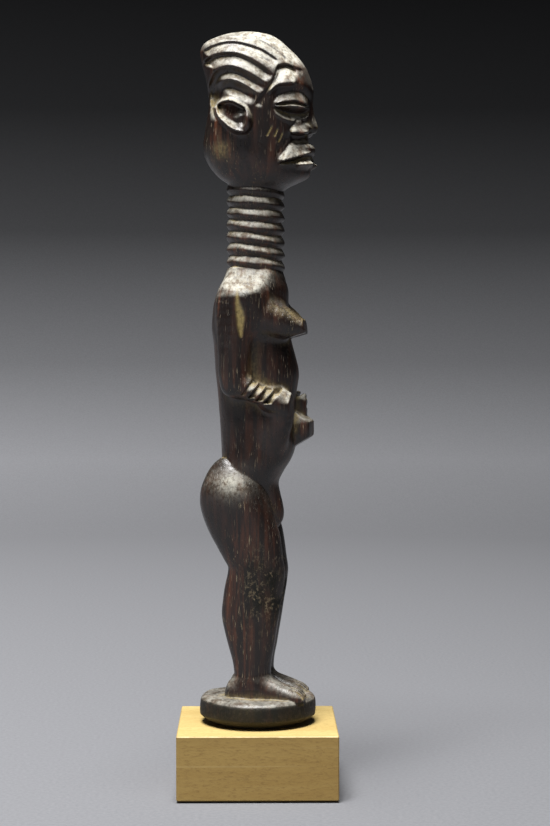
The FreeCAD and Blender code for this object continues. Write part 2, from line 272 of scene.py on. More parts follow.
def pebble(centre: Point, radii: Point, yaw: float = 0.0) -> Form:
    """An ellipsoid form.

    Args:
        centre: its centre.
        radii: its radii along X, Y and Z before it is turned.
        yaw: how far it is turned about Z.

    Returns:
        The form.
    """
    spin = np.asarray(Euler((0, 0, yaw)).to_matrix().transposed(), dtype=np.float32)
    size = np.asarray(radii, dtype=np.float32)

    def form(x: Array, y: Array, z: Array) -> Array:
        """Measure from the form.

        Args:
            x: coordinates along X.
            y: those along Y.
            z: those along Z.

        Returns:
            The distances, below zero inside.
        """
        dx, dy, dz = x - centre[0], y - centre[1], z - centre[2]
        local = [row[0] * dx + row[1] * dy + row[2] * dz for row in spin]
        unit = np.sqrt(sum((part / radius) ** 2 for part, radius in zip(local, size)))
        steep = np.sqrt(sum((part / radius**2) ** 2 for part, radius in zip(local, size)))
        return unit * (unit - 1) / np.maximum(steep, 1e-4)

    return form


def slab(point: Point, outward: Point) -> Form:
    """A form of everything behind a flat cut.

    Args:
        point: a point on the cut.
        outward: the direction that the cut faces.

    Returns:
        The form.
    """
    normal = np.asarray(Vector(outward).normalized(), dtype=np.float32)

    def form(x: Array, y: Array, z: Array) -> Array:
        """Distance from the form at coordinates x, y and z."""
        return (x - point[0]) * normal[0] + (y - point[1]) * normal[1] + (z - point[2]) * normal[2]

    return form


def drum(radius: float, floor: float, roof: float) -> Form:
    """An upright cylinder about the Z axis.

    Args:
        radius: its radius.
        floor: its lower end.
        roof: its upper end.

    Returns:
        The form.
    """

    def form(x: Array, y: Array, z: Array) -> Array:
        """Distance from the form at coordinates x, y and z."""
        return np.maximum(np.hypot(x, y) - radius, np.maximum(floor - z, z - roof))

    return form


def either(*forms: Form) -> Form:
    """Several forms taken together.

    Args:
        forms: the forms.

    Returns:
        The form.
    """

    def form(x: Array, y: Array, z: Array) -> Array:
        """Distance from the nearest of the forms at coordinates x, y and z."""
        return np.minimum.reduce([part(x, y, z) for part in forms])

    return form


def trimmed(mass: Form, cuts: Cuts, ease: float = 0.0) -> Form:
    """A mass trimmed by flat cuts.

    Args:
        mass: the mass.
        cuts: a point and the direction that the cut faces, for each cut.
        ease: about how much the edges between them are rounded.

    Returns:
        The form.
    """
    planes = [slab(point, outward) for point, outward in cuts]

    def form(x: Array, y: Array, z: Array) -> Array:
        """Measure from the form.

        Args:
            x: coordinates along X.
            y: those along Y.
            z: those along Z.

        Returns:
            The distances, below zero inside.
        """
        value = mass(x, y, z)
        for plane in planes:
            flat = plane(x, y, z)
            rounding = fillet(value, flat, ease) if ease else 0
            value = np.maximum(value, flat) + rounding
        return value

    return form


# ---------------------------------------------------------------------------------------------------
# Relief: fine work drawn over the side view
# ---------------------------------------------------------------------------------------------------
def path_distance(s: Array, z: Array, points: Array) -> tuple[Array, Array, Array]:
    """Measure from places to a drawn line.

    Args:
        s: the places' first coordinate.
        z: their second coordinate.
        points: the line's points.

    Returns:
        How far each place lies from the line, how far along the line it is as a share of its length,
        and 1 to the left of the line or -1 to its right.
    """
    best = np.full(np.broadcast(s, z).shape, np.inf)
    along, side = np.zeros_like(best), np.zeros_like(best)
    lengths = np.linalg.norm(np.diff(points, axis=0), axis=1)
    total, done = max(lengths.sum(), TINY), 0.0
    for start, end, length in zip(points, points[1:], lengths):
        run = end - start
        ds, dz = s - start[0], z - start[1]
        share = np.clip((ds * run[0] + dz * run[1]) / max(length**2, TINY), 0, 1)
        gap = np.hypot(ds - run[0] * share, dz - run[1] * share)
        nearer = gap < best
        best = np.where(nearer, gap, best)
        along = np.where(nearer, (done + share * length) / total, along)
        side = np.where(nearer, np.sign(run[0] * dz - run[1] * ds), side)
        done += length
    return best, along, side


def inside_outline(s: Array, z: Array, outline: Array) -> Array:
    """Find the places inside a closed outline.

    Args:
        s: the places' first coordinate.
        z: their second coordinate.
        outline: the outline's points.

    Returns:
        Whether each place lies inside.
    """
    inside = np.zeros(np.broadcast(s, z).shape, dtype=bool)
    for (s0, z0), (s1, z1) in zip(outline, np.roll(outline, -1, axis=0)):
        crosses = (z0 > z) != (z1 > z)
        reach = s0 + (s1 - s0) * (z - z0) / (z1 - z0 if z1 != z0 else TINY)
        inside ^= crosses & (s < reach)
    return inside


@dataclass(frozen=True)
class SideView:
    """The view that relief is drawn in: from the doll's side, a little towards its front."""

    slant: float = math.radians(10)
    distance: float = 791.75
    level: float = 156.4
    aside: float = -0.45
    sink: float = -0.3

    def place(self, x: Array, y: Array, z: Array) -> tuple[Array, Array]:
        """Find where points show in the view. Both flanks are taken alike.

        Args:
            x: the points' coordinates along X.
            y: those along Y.
            z: those along Z.

        Returns:
            The places along the view and up it.
        """
        near = np.abs(y) * math.cos(self.slant) + x * math.sin(self.slant)
        scale = self.distance / (self.distance - near)
        s = (x * math.cos(self.slant) - np.abs(y) * math.sin(self.slant)) * scale
        return s + self.aside, self.level + self.sink + (z - self.level) * scale


class Relief:
    """Heights, in millimetres, that stand above or below the skin in a side view of the doll."""

    def __init__(self, low: Place, high: Place, cell: float) -> None:
        """Lay out an empty relief.

        Args:
            low: the lower back corner in the side view.
            high: the upper front corner.
            cell: spacing of the heights.
        """
        self.cell = cell
        self.low = low
        self.s = np.arange(low[0], high[0] + cell, cell)[:, None]
        self.z = np.arange(low[1], high[1] + cell, cell)[None, :]
        self.height = np.zeros((self.s.size, self.z.size))

    def stroke(self, points: Line, width: float, height: float, taper: float = 0.12) -> None:
        """Raise or sink the skin along a line.

        Args:
            points: the line, which is smoothed.
            width: half width of the stroke.
            height: its height, below zero for a groove.
            taper: share of the line over which each end fades out.
        """
        gap, along, _ = path_distance(self.s, self.z, smooth_path(points, 5))
        share = eased(np.clip(1 - gap / width, 0, 1))
        self.height += height * share * np.clip(np.minimum(along, 1 - along) / taper, 0, 1)

    def ledge(
        self, points: Line, under: float, back: float, depth: float, outward: int = -1, fade: float = 0.06
    ) -> None:
        """Undercut one side of a line: the skin turns in beside it and comes back out further away.

        Args:
            points: the line, which is smoothed.
            under: how far from the line the skin is deepest.
            back: how much further it takes to come back out.
            depth: how deep it goes.
            outward: 1 for the left-hand side when walking along the line, -1 for the right.
            fade: share of the line over which each end fades out.
        """
        gap, along, side = path_distance(self.s, self.z, smooth_path(points, 5))
        away = np.maximum(gap * outward * side, 0)
        inward = np.sin(np.clip(away / under, 0, 1) * math.pi / 2)
        outside = np.clip((away - under) / back, 0, 1)
        drop = np.where(away < under, inward, (1 - outside) ** 1.15)
        self.height -= depth * drop * eased(np.clip(np.minimum(along, 1 - along) / fade, 0, 1))

    def terrace(self, lines: Contours, fade: float) -> None:
        """Run the skin straight from line to line.

        Args:
            lines: (height, points) from the lowest line to the highest, each drawn from back to front;
                nothing changes below the first or above the last.
            fade: how far in from both ends of the lines the work fades out.
        """
        across = self.s[:, 0]
        paths = [smooth_path(points, 4) for _, points in lines]
        levels = np.array([np.interp(across, path[:, 0], path[:, 1]) for path in paths])
        levels = np.maximum.accumulate(levels + 0.02 * np.arange(len(lines))[:, None], axis=0)
        heights = [height for height, _ in lines]
        start, finish = max(path[0, 0] for path in paths), min(path[-1, 0] for path in paths)
        ends = eased(np.clip(np.minimum(across - start, finish - across) / fade, 0, 1))
        for number in np.flatnonzero(ends):
            self.height[number] += ends[number] * np.interp(
                self.z[0], levels[:, number], heights, left=0, right=0
            )

    def patch(self, outline: Line, height: float, soft: float) -> None:
        """Raise or sink everything inside an outline.

        Args:
            outline: the outline, which is smoothed.
            height: the height, below zero for a hollow.
            soft: width of the soft edge.
        """
        closed = smooth_path((*outline, outline[0]), 4)
        gap = path_distance(self.s, self.z, closed)[0]
        inward = np.where(inside_outline(self.s, self.z, closed), gap, -gap)
        self.height += height * eased(np.clip(inward / soft + 0.5, 0, 1))

    def read(self, s: Array, z: Array) -> Array:
        """Read the relief, blended between its cells.

        Args:
            s: places along the side view.
            z: places up it.

        Returns:
            The heights.
        """
        across = np.clip((s - self.low[0]) / self.cell, 0, self.s.size - 1.001)
        up = np.clip((z - self.low[1]) / self.cell, 0, self.z.size - 1.001)
        i, k = across.astype(int), up.astype(int)
        a, c = across - i, up - k
        top = self.height[i, k + 1] * (1 - a) + self.height[i + 1, k + 1] * a
        bottom = self.height[i, k] * (1 - a) + self.height[i + 1, k] * a
        return bottom * (1 - c) + top * c


# ---------------------------------------------------------------------------------------------------
# The billet that is carved
# ---------------------------------------------------------------------------------------------------
def corner_share(part: Array, corner: tuple[int, int, int]) -> Array:
    """How much one corner of a cell counts at each place in the cell."""
    return math.prod(np.abs(1 - high - part[:, axis]) for axis, high in enumerate(corner))


class Billet:
    """A block of distance values that forms are added to and cut from."""

    def __init__(self, low: Point, high: Point, cell: float) -> None:
        """Fill a space with empty cells.

        Args:
            low: one corner of the space.
            high: the other corner.
            cell: size of the cells.
        """
        self.cell = np.float32(cell)
        self.low = np.asarray(low, dtype=np.float32)
        self.axes = [np.arange(a, b + cell, cell, dtype=np.float32) for a, b in zip(low, high)]
        self.value = np.full([axis.size for axis in self.axes], FAR, dtype=np.float32)

    def window(self, low: Point, high: Point) -> tuple[tuple[slice, ...], list[Array]]:
        """Pick out the cells between two corners.

        Args:
            low: one corner.
            high: the other corner.

        Returns:
            The slices of the cells, and their coordinates.
        """
        cuts, coordinates = [], []
        for number, axis in enumerate(self.axes):
            start = int(np.searchsorted(axis, low[number]))
            stop = int(np.searchsorted(axis, high[number]))
            cuts.append(slice(start, max(stop, start + 1)))
            shape = [1, 1, 1]
            shape[number] = -1
            coordinates.append(axis[cuts[-1]].reshape(shape))
        return tuple(cuts), coordinates

    def add(self, form: Form, low: Point, high: Point, blend: float) -> None:
        """Add a form inside a window.

        Args:
            form: the form.
            low: one corner of the window.
            high: the other corner.
            blend: about the size of the fillet where the form meets the rest.
        """
        cuts, place = self.window(low, high)
        old, new = self.value[cuts], form(*place)
        self.value[cuts] = np.minimum(old, new) - fillet(old, new, blend)

    def cut(self, form: Form, low: Point, high: Point, blend: float) -> None:
        """Cut a form away inside a window.

        Args:
            form: the form.
            low: one corner of the window.
            high: the other corner.
            blend: about how much the cut's rim is eased.
        """
        cuts, place = self.window(low, high)
        old, new = self.value[cuts], -form(*place)
        self.value[cuts] = np.maximum(old, new) + fillet(old, new, blend)

    def press(self, relief: Relief, view: SideView, low: Point, high: Point, bare: Place) -> None:
        """Press a side-view relief into both flanks, inside a window.

        Args:
            relief: the relief.
            view: the view that it is drawn in.
            low: one corner of the window.
            high: the other corner.
            bare: how far from the middle plane the relief starts, and over how much further it grows.
        """
        cuts, (x, y, z) = self.window(low, high)
        flank = eased(np.clip((np.abs(y) - bare[0]) / bare[1], 0, 1))
        height = relief.read(*np.broadcast_arrays(*view.place(x, y, z))) * flank
        self.value[cuts] -= height.astype(np.float32)

    def read(self, points: Array) -> Array:
        """Read the distance values, blended between cells.

        Args:
            points: rows of coordinates.

        Returns:
            The distances.
        """
        place = (points - self.low) / self.cell
        place = np.clip(place, 0, np.asarray(self.value.shape) - 1.001)
        base = place.astype(np.int64)
        part = (place - base).astype(np.float32)
        total = np.zeros(len(points), dtype=np.float32)
        for corner in CORNERS:
            total += corner_share(part, corner) * self.value[tuple((base + corner).T)]
        return total

    def slope(self, points: Array) -> Array:
        """Find the direction out of the surface.

        Args:
            points: rows of coordinates.

        Returns:
            Rows of directions, as long as the values are steep.
        """
        columns = []
        for axis in range(3):
            shift = np.zeros(3, dtype=np.float32)
            shift[axis] = self.cell
            step = 2 * float(self.cell)
            columns.append((self.read(points + shift) - self.read(points - shift)) / step)
        return np.column_stack(columns)

    def outward(self, points: Array) -> Array:
        """Unit directions out of the surface."""
        slope = self.slope(points)
        return slope / np.maximum(np.linalg.norm(slope, axis=1), TINY)[:, None]

    def settle(self, points: Array, rounds: int) -> Array:
        """Move points onto the surface.

        Args:
            points: rows of coordinates near it.
            rounds: how often they are moved closer.

        Returns:
            The moved points.
        """
        for _ in range(rounds):
            slope = self.slope(points)
            steep = np.maximum((slope**2).sum(axis=1), 0.15)
            step = np.clip(self.read(points) / steep, -0.3, 0.3)
            points = points - slope * step[:, None]
        return points

    def skin(self) -> tuple[Array, Array]:
        """Find the surface.

        Returns:
            The points of the surface and its four-sided faces, facing outwards.
        """
        solid = self.value < 0
        count = np.zeros([size - 1 for size in solid.shape], dtype=np.int8)
        for corner in CORNERS:
            count += solid[tuple(slice(i, i + size) for i, size in zip(corner, count.shape))]
        cells = np.argwhere((count > 0) & (count < len(CORNERS)))
        number = np.full(count.shape, -1, dtype=np.int64)
        number[tuple(cells.T)] = np.arange(len(cells))
        points = self.cell * self.crossings(cells) + self.low
        faces = [self.faces_across(axis, solid, number) for axis in range(3)]
        return points.astype(np.float32), np.concatenate(faces)

    def crossings(self, cells: Array) -> Array:
        """Find the mean place where the surface crosses the edges of each cell.

        Args:
            cells: rows of cell numbers along X, Y and Z.

        Returns:
            Rows of places, in cells.
        """
        total = np.zeros((len(cells), 3))
        hits = np.zeros(len(cells))
        for first in CORNERS:
            for axis in np.flatnonzero(np.equal(first, 0)):
                second = tuple(value + (number == axis) for number, value in enumerate(first))
                here = self.value[tuple((cells + first).T)]
                there = self.value[tuple((cells + second).T)]
                crossed = (here < 0) != (there < 0)
                place = cells + np.asarray(first, dtype=float)
                place[:, axis] += here / np.where(crossed, here - there, 1)
                total += place * crossed[:, None]
                hits += crossed
        return total / hits[:, None]

    @staticmethod
    def faces_across(axis: int, solid: Array, number: Array) -> Array:
        """Make the faces that cross the grid lines along one axis.

        Args:
            axis: the axis.
            solid: whether each grid point is inside.
            number: the number of the point in each cell that the surface crosses.

        Returns:
            Rows of four point numbers.
        """
        side_a, side_b = (axis + 1) % 3, (axis + 2) % 3
        lower, upper, inner = [slice(None)] * 3, [slice(None)] * 3, [slice(None)] * 3
        lower[axis], upper[axis] = slice(0, -1), slice(1, None)
        inner[side_a] = inner[side_b] = slice(1, -1)
        changed = solid[tuple(lower)] != solid[tuple(upper)]
        places = np.argwhere(changed[tuple(inner)])
        places[:, (side_a, side_b)] += 1
        ring = []
        for back in ((1, 1), (0, 1), (0, 0), (1, 0)):
            neighbour = places.copy()
            neighbour[:, (side_a, side_b)] -= back
            ring.append(number[tuple(neighbour.T)])
        faces = np.column_stack(ring)
        outward = solid[tuple(places.T)]
        faces[~outward] = faces[~outward][:, ::-1]
        return faces


def value_noise(points: Array, size: Point, seed: int) -> Array:
    """Draw smooth random values over lumps.

    Args:
        points: rows of coordinates.
        size: size of the lumps along X, Y and Z.
        seed: seed of the random draw.

    Returns:
        Values between -1 and 1.
    """
    lattice = np.random.default_rng(seed).uniform(-1, 1, (32, 32, 32)).astype(np.float32)
    place = points / np.asarray(size) + 1000.0
    base = np.floor(place).astype(np.int64)
    part = eased(place - base)
    total = np.zeros(len(points))
    for corner in CORNERS:
        total += corner_share(part, corner) * lattice[tuple((base + corner).T % 32)]
    return total


# ---------------------------------------------------------------------------------------------------
# The doll's masses, each carved into the billet in turn
# ---------------------------------------------------------------------------------------------------
def hand_cut(turn: Array, waves: Rows, along: Array | float = 1.0) -> Array:
    """The slight waviness of hand work round a form.

    Args:
        turn: angle round the form.
        waves: (height, number round the form, shift) of each wave.
        along: what the shifts are multiplied by, such as the level.

    Returns:
        How far the surface wanders.
    """
    return sum(height * np.sin(count * turn + shift * along) for height, count, shift in waves)


def mirrored(path: Rows, side: Side) -> list[tuple[float, ...]]:
    """A path of (x, y, z, radius) drawn for the left side, put on either side."""
    return [(x, side.value * y, z, radius) for x, y, z, radius in path]


@dataclass(frozen=True)
class FootPlate:
    """The round plate under the feet, cut back underneath so that it seats on its middle."""

    radius: float = 23.35
    thickness: float = 10.7
    undercut: float = 1.6
    bevel: float = 2.0
    bevel_slack: float = 0.72
    seat_radius: float = 18.0
    crown: float = 1.0
    crown_fall: float = 2.5
    bulge: float = 0.3
    bulge_middle: float = 6.0
    bulge_reach: float = 4.0
    ease: float = 1.9
    join: float = 0.2
    rim_waves: Rows = ((0.14, 3, 0.8), (0.08, 7, 2))
    top_waves: Rows = ((0.25, 2, 1), (0.12, 5, 0))

    def carve(self, billet: Billet) -> None:
        """Rough out the plate on its seat.

        Args:
            billet: the billet that is carved.
        """
        reach = self.radius + 2
        low, high = (-reach, -reach, -2.0), (reach, reach, self.thickness + 5)
        billet.add(drum(self.seat_radius, 0.0, self.thickness / 2), low, high, self.join)
        billet.add(self.disc, low, high, self.join)

    def disc(self, x: Array, y: Array, z: Array) -> Array:
        """Measure the plate above its seat, with its eased rim, domed top and bevelled underside.

        Args:
            x: coordinates along X.
            y: those along Y.
            z: those along Z.

        Returns:
            The distances.
        """
        turn, away = np.arctan2(y, x), np.hypot(x, y)
        bulge = self.bulge * ((z - self.bulge_middle) / self.bulge_reach) ** 2
        out = away - self.radius - hand_cut(turn, self.rim_waves) + bulge
        dome = self.crown * (1 - np.clip(away / self.radius, 0, 1) ** self.crown_fall)
        top = z - self.thickness - hand_cut(turn, self.top_waves) - dome
        rim = np.hypot(np.maximum(out + self.ease, 0), np.maximum(top + self.ease, 0)) - self.ease
        body = np.maximum(np.minimum(np.maximum(out, top) + self.ease, 0), -self.ease) + rim
        chamfer = (out + (self.undercut + self.bevel - z)) * self.bevel_slack
        return np.maximum(np.maximum(body, chamfer), self.undercut - z)


@dataclass(frozen=True)
class Legs:
    """Two bent legs with heavy thighs and long narrow feet.

    The leg rows are (level, back, front, half width), the foot rows (place along X, height, half
    width), and a toe line runs through (place along X, spread, rise, radius).
    """

    spacing: float = 15.5
    left_setback: float = 1.2
    sole: float = 10.6
    fullness: float = 2.15
    foot_fullness: float = 2.7
    leg_blend: float = 0.35
    ankle_blend: float = 2.4
    toe_ease: float = 0.4
    toe_places: tuple[float, ...] = (-0.6, -0.2, 0.2, 0.6)
    toe_line: Rows = ((13.6, 4.8, 6.1, 0.35), (21.2, 6.4, 1.0, 0.85))
    rows: Rows = (
        (15.5, -6.6, 6.6, 5.2), (17.6, -7.6, 6.9, 5.3), (20.5, -8.0, 6.6, 5.1), (25.0, -8.6, 6.9, 5.1),
        (31.0, -10.2, 8.0, 5.3), (37.0, -11.8, 9.0, 5.6), (43.0, -12.9, 10.0, 6.0),
        (50.0, -12.6, 11.0, 6.1), (57.0, -11.5, 12.1, 6.2), (61.2, -10.6, 12.5, 6.4),
        (63.4, -10.5, 12.3, 6.6), (66.0, -11.9, 11.9, 6.9), (71.0, -14.7, 11.2, 7.3),
        (77.0, -18.0, 10.2, 7.8), (83.0, -20.6, 8.6, 8.3), (89.0, -21.9, 6.6, 8.7), (94.0, -21.6, 4.6, 8.5),
        (98.0, -20.3, 2.6, 7.5), (101.0, -18.9, 0.8, 6.0), (103.6, -17.2, -1.4, 4.5),
        (105.6, -15.4, -4.6, 3.3), (107.0, -13.4, -9.0, 1.8),
    )
    foot_rows: Rows = (
        (-11.6, 3.4, 2.6), (-10.6, 6.0, 4.2), (-8.4, 8.0, 5.2), (-4.0, 9.0, 5.6), (0.5, 9.4, 5.6),
        (4.5, 9.2, 5.6), (8.0, 8.0, 5.8), (12.0, 6.4, 6.1), (16.0, 4.8, 6.2), (19.0, 3.4, 5.6),
        (20.7, 1.8, 4.2),
    )

    def carve(self, billet: Billet) -> None:
        """Add both legs and feet, then score the toes.

        Args:
            billet: the billet that is carved.
        """
        for side in Side:
            middle = side.value * self.spacing / 2
            setback = self.left_setback if side is Side.LEFT else 0.0
            rows = [(z, back - setback, front - setback, half) for z, back, front, half in self.rows]
            low, high = (-26.0, middle - 12, self.sole - 1), (17.0, middle + 12, 110.0)
            billet.add(upright(rows, middle, self.fullness), low, high, self.leg_blend)
            self.carve_foot(billet, middle, setback)

    def carve_foot(self, billet: Billet, middle: float, setback: float) -> None:
        """Add one foot on its sole, square along its outer edge, and score four lines between the toes.

        Args:
            billet: the billet that is carved.
            middle: where the foot's middle lies along Y.
            setback: how far back the foot stands.
        """
        rows = [(x - setback, height, half) for x, height, half in self.foot_rows]
        low, high = (-15.0, middle - 9, self.sole - 1.6), (24.0, middle + 9, self.sole + 15)
        foot = lengthwise(rows, middle, self.sole, self.foot_fullness)
        billet.add(foot, low, high, self.ankle_blend)
        low, high = (10.0, middle - 8, self.sole), (24.0, middle + 8, self.sole + 9)
        for place in self.toe_places:
            line = [
                (x - setback, middle + place * spread, self.sole + rise, radius)
                for x, spread, rise, radius in self.toe_line
            ]
            billet.cut(rod(line, steps=1), low, high, self.toe_ease)


@dataclass(frozen=True)
class Trunk:
    """The long trunk with its rounded belly, narrow chest and conical breasts.

    The trunk rows are (level, back, front, half width), and the breast rows (x, share of the gap, z,
    radius, share of the right one's extra length).
    """

    breast_gap: float = 7.6
    right_longer: float = 1.7
    fullness: float = 2.25
    waist_blend: float = 1.0
    breast_blend: float = 2.4
    nipple_x: float = 18.7
    under_breast: tuple[Point, Point] = ((15.0, 0.0, 155.2), (0.30, 0.0, -1.0))
    rows: Rows = (
        (78.5, 3.0, 8.0, 1.6), (81.0, 0.0, 9.9, 3.4), (84.5, -4.0, 10.7, 4.8), (88.5, -8.0, 10.2, 6.2),
        (92.5, -11.5, 9.2, 8.4), (97.0, -13.4, 8.5, 11.4), (101.0, -14.0, 10.2, 13.0),
        (106.0, -14.2, 13.4, 13.3), (111.0, -14.4, 15.2, 12.9), (118.0, -14.8, 15.1, 12.4),
        (126.0, -15.4, 15.0, 12.0), (134.0, -16.1, 16.0, 11.8), (140.0, -16.7, 16.8, 11.8),
        (147.0, -17.2, 15.6, 11.9), (152.0, -17.5, 14.2, 12.0), (158.0, -18.2, 13.0, 12.6),
        (165.0, -17.9, 12.4, 13.6), (170.0, -17.0, 12.4, 13.8), (174.5, -15.4, 12.2, 12.8),
        (178.5, -13.2, 11.0, 11.0), (182.0, -12.0, 10.0, 10.2),
    )
    breast: Rows = (
        (3.0, 0.92, 163.4, 9.0, 0.0), (9.0, 0.97, 161.4, 7.0, 0.5), (14.2, 1.0, 159.4, 4.6, 1.0),
        (17.8, 1.0, 158.7, 3.5, 1.0),
    )

    def carve(self, billet: Billet) -> None:
        """Add the trunk, then both breasts with blunt ends, cut back underneath.

        Args:
            billet: the billet that is carved.
        """
        trunk = upright(self.rows, 0.0, self.fullness)
        billet.add(trunk, (-24, -18, 76), (22, 18, 184), self.waist_blend)
        for side in Side:
            y = side.value * self.breast_gap
            longer = self.right_longer if side is Side.RIGHT else 0.0
            cone = rod([(x + more * longer, y * share, z, r) for x, share, z, r, more in self.breast])
            cuts = [((self.nipple_x + longer, 0, 158.5), (1.0, 0, 0.12)), self.under_breast]
            billet.add(trimmed(cone, cuts), (-6, y - 11, 148), (24, y + 11, 178), self.breast_blend)


@dataclass(frozen=True)
class BangleCut:
    """A slanting notch over the outer side of a wrist, steep behind and shallow towards the hand."""

    centre: Array
    across: Array
    radius: float
    side: Side
    depth: float = 1.5
    widest: float = 1.9
    flare_behind: float = 0.45
    flare_ahead: float = 1.5
    reach: float = 3.0
    drop: float = 0.55
    slack: float = 0.7
    belly_middle: float = 0.2
    belly_radii: Place = (16.4, 12.4)
    belly_fullness: float = 2.25

    def form(self, x: Array, y: Array, z: Array) -> Array:
        """Measure the notch, kept off the ribs so that the belly keeps its skin.

        Args:
            x: coordinates along X.
            y: those along Y.
            z: those along Z.

        Returns:
            The distances.
        """
        dx, dy, dz = x - self.centre[0], y - self.centre[1], z - self.centre[2]
        travel = dx * self.across[0] + dy * self.across[1] + dz * self.across[2]
        out = np.sqrt(np.maximum(dx * dx + dy * dy + dz * dz - travel**2, 0))
        grip = np.clip((dz + self.side.value * dy * 0.8) / self.radius + 0.9, 0, 1)
        flare = np.where(travel > 0, self.flare_ahead, self.flare_behind)
        half = np.minimum((out - self.radius + self.depth * grip) * flare, self.widest)
        below = self.centre[2] - self.drop * self.radius - z
        outside = out - self.radius - self.reach
        notch = np.maximum((np.abs(travel) - half) * self.slack, np.maximum(outside, below))
        along, across = self.belly_radii
        belly = oval((x - self.belly_middle, along), (y, across), self.belly_fullness)
        return np.maximum(notch, -belly)


@dataclass(frozen=True)
class Arms:
    """Upper arms close to the ribs, and forearms with carved bangles laid across the belly.

    Paths are (x, y, z, radius), drawn for the left side or, for the hands, where they lie. Knife cuts
    are a point and the direction that the cut faces.
    """

    shoulder: Rows = (
        (-2.2, 8.2, 175.6, 8.0), (-4.0, 11.4, 171.4, 8.4), (-5.8, 13.0, 165.2, 7.2),
        (-6.8, 14.4, 156.0, 6.0), (-7.2, 15.0, 147.0, 5.2), (-7.0, 15.0, 140.5, 5.2),
        (-6.6, 14.7, 136.6, 4.8),
    )
    right_forearm: Rows = (
        (-6.2, 14.9, 136.6, 5.0), (-1.6, 15.2, 134.8, 4.4), (4.0, 14.6, 132.6, 4.2),
        (9.0, 13.0, 130.4, 3.6),
    )
    left_forearm: Rows = (
        (-6.2, 14.9, 136.6, 5.0), (2.0, 14.8, 134.6, 4.4), (10.0, 12.4, 131.4, 3.8),
        (15.4, 8.0, 128.6, 3.6),
    )
    bangles: int = 4
    bangle_pitch: float = 3.3
    bangle_lean: Point = (0.0, 0.0, -0.36)
    hand_reach: float = 2.0
    arm_stretch: Point = (1.16, 0.92, 1.0)
    forearm_stretch: Point = (1.0, 0.86, 1.0)
    shoulder_blend: float = 4.5
    shoulder_ease: float = 1.4
    elbow_blend: float = 1.8
    knife_ease: float = 0.5
    line_ease: float = 0.25
    finger_ease: float = 0.4
    finger_places: tuple[float, ...] = (-0.8, 1.6, 4.0)
    cuff_drops: tuple[float, ...] = (0.0, 3.4)
    right_back: Rows = ((8.2, -13.4, 130.2, 4.2), (12.0, -10.6, 129.0, 5.4), (12.0, -9.6, 122.0, 3.6))
    right_cuts: Cuts = (
        ((10.2, -13.4, 131.0), (0.10, -0.72, 0.68)),
        ((16.0, -9.0, 126.0), (0.98, -0.18, 0.02)),
        ((9.8, -15.9, 125.0), (0.24, -0.97, 0.04)),
    )
    left_fist: Rows = (
        (14.5, 8.0, 127.0, 4.4), (17.2, 5.6, 123.6, 5.6), (17.6, 3.6, 118.8, 6.2), (14.6, 2.6, 113.4, 4.4),
        (11.4, 2.2, 109.0, 3.0),
    )
    fist_cuts: Cuts = (
        ((18.2, 4.0, 123.8), (0.52, -0.10, 0.85)),
        ((21.7, 2.5, 118.0), (1.0, -0.10, 0.0)),
        ((21.7, 2.5, 115.4), (0.52, 0.0, -0.86)),
        ((17.6, -2.6, 118.0), (0.22, -0.98, 0.0)),
        ((18.0, 8.8, 119.0), (0.35, 0.93, 0.1)),
    )
    left_cuff: Rows = ((12.0, 10.4, 131.6, 3.9), (15.4, 7.4, 129.8, 4.2), (15.8, 6.2, 125.4, 4.2))
    cuff_cuts: Cuts = (
        ((19.2, 6.6, 128.0), (1.0, 0.0, 0.03)),
        ((15.0, 6.6, 133.6), (0.10, -0.62, 0.78)),
        ((16.0, 3.2, 128.0), (0.15, -1.0, 0.0)),
    )

    def carve(self, billet: Billet) -> None:
        """Add each arm, then its hand and bangles.

        Args:
            billet: the billet that is carved.
        """
        forearms = {
            side: mirrored(path, side) for side, path in zip(Side, (self.right_forearm, self.left_forearm))
        }
        for side, forearm in forearms.items():
            low = (-18.0, min(0.0, side.value * 24), 110.0)
            high = (26.0, max(0.0, side.value * 24), 184.0)
            limb = rod(mirrored(self.shoulder, side), self.arm_stretch)
            facet = ((-5.0, side.value * 13.2, 178.3), (0.06, side.value * 0.67, 0.74))
            billet.add(trimmed(limb, [facet], self.shoulder_ease), low, high, self.shoulder_blend)
            billet.add(rod(forearm, self.forearm_stretch), low, high, self.elbow_blend)
        self.carve_right_hand(billet)
        self.carve_left_hand(billet)
        for side, forearm in forearms.items():
            self.carve_bangles(billet, forearm, side)

    def carve_bangles(self, billet: Billet, forearm: Rows, side: Side) -> None:
        """Cut slanting notches over the outer side of a wrist, so that ridges stand between them.

        Args:
            billet: the billet that is carved.
            forearm: the forearm's path.
            side: the doll's side that it is on.
        """
        start, finish = np.asarray(forearm[-3][:3]), np.asarray(forearm[-1][:3])
        thick, thin = forearm[-3][3], forearm[-1][3]
        length = float(np.linalg.norm(finish - start))
        across = (finish - start) / length + np.asarray(self.bangle_lean)
        across = across / np.linalg.norm(across)
        for ring in range(self.bangles):
            share = 1.0 - (self.hand_reach + ring * self.bangle_pitch) / length
            centre = start + (finish - start) * share
            radius = thick + (thin - thick) * min(share, 1.0)
            notch = BangleCut(centre, across, radius, side)
            low, high = centre - radius - notch.reach, centre + radius + notch.reach
            if side is Side.LEFT:
                low[1] = max(low[1], 0.1)
            else:
                high[1] = min(high[1], -0.1)
            billet.cut(notch.form, tuple(low), tuple(high), self.line_ease)

    def carve_right_hand(self, billet: Billet) -> None:
        """Add a flat-topped hand held against the belly, which fades into it downwards.

        Args:
            billet: the billet that is carved.
        """
        low, high = (0.0, -19.0, 104.0), (20.0, -2.0, 138.0)
        billet.add(pebble((8.6, -9.4, 121.0), (6.6, 4.6, 11.0)), low, high, 3.4)
        billet.add(trimmed(rod(self.right_back), self.right_cuts, self.knife_ease), low, high, 2.6)

